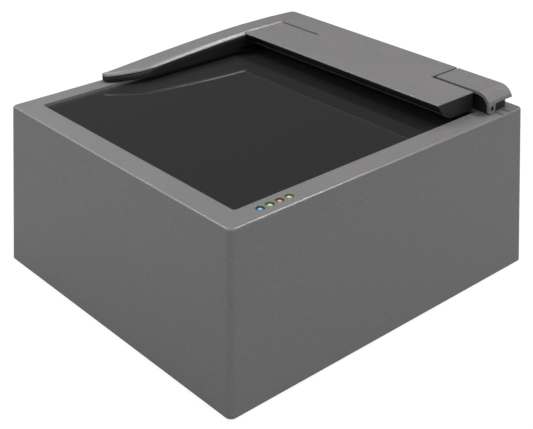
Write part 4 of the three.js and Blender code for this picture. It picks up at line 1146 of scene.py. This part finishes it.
# Softboxes: name, place, target, size and power, with places and sizes in metres
OVER = (0, 0, 0.09)
MIDDLE = (0, 0, 0.07)
WHITE = (1, 1, 1)
PINK = (1, 0.95, 0.945)
SOFTBOXES = (
    ("rear", (0.06, 0.53, 0.83), OVER, (1.0, 0.07), 4.4, PINK),
    ("overhead", (0.1, 0.16, 0.8), (0.1, 0, 0.09), (0.12, 0.8), 1.5, PINK),
    ("left", (-0.21, -0.04, 0.45), (0.04, 0.03, 0.09), (0.07, 0.12), 0.35, PINK),
    ("left_far", (-0.7, -0.15, 0.7), OVER, (0.9, 0.7), 2.0, WHITE),
    ("front", (-0.04, -0.2, 0.27), (0, -0.1, 0.05), (0.5, 0.08), 0.22, WHITE),
    ("front_low", (-0.1, -0.95, 0.14), MIDDLE, (0.8, 0.2), 1.2, WHITE),
    ("front_far", (-0.15, -0.9, 0.5), MIDDLE, (0.8, 0.3), 0.6, WHITE),
    ("right_low", (0.95, -0.05, 0.14), MIDDLE, (0.8, 0.2), 1.6, WHITE),
    ("right_far", (0.9, 0.1, 0.5), MIDDLE, (0.8, 0.3), 0.9, WHITE),
    ("rear_far", (0.35, 0.9, 0.5), MIDDLE, (0.8, 0.3), 0.8, WHITE),
)


def add_softbox(name, place, target, size, power, color):
    lamp = bpy.data.lights.new(f"{name}_softbox", "AREA")
    lamp.shape = "RECTANGLE"
    lamp.size, lamp.size_y = size
    lamp.energy = power
    lamp.color = color
    softbox = bpy.data.objects.new(lamp.name, lamp)
    bpy.context.collection.objects.link(softbox)
    softbox.location = place
    away = (Vector(place) - Vector(target)).normalized()
    softbox.rotation_euler = away.to_track_quat("Z", "Y").to_euler()
    softbox.visible_camera = False


# Camera fitted to the corners of the housing: focal length in pixels of a picture this wide
PICTURE_WIDTH = 533
FOCAL_PIXELS = 1065.43
SENSOR = 36
CAMERA_PLACE = (0.371795, -0.333752, 0.299203)
CAMERA_TURNS = (61.4806, -0.2799, 48.2529)


def add_camera():
    view = bpy.data.cameras.new("view")
    view.sensor_width = SENSOR
    view.lens = FOCAL_PIXELS * SENSOR / PICTURE_WIDTH
    view.clip_start = 0.01
    camera = bpy.data.objects.new("view", view)
    bpy.context.collection.objects.link(camera)
    camera.location = CAMERA_PLACE
    camera.rotation_euler = [math.radians(turn) for turn in CAMERA_TURNS]
    bpy.context.scene.camera = camera


build_floor()
build_sky()
for softbox in SOFTBOXES:
    add_softbox(*softbox)
add_camera()
bpy.context.scene.view_settings.view_transform = "Standard"
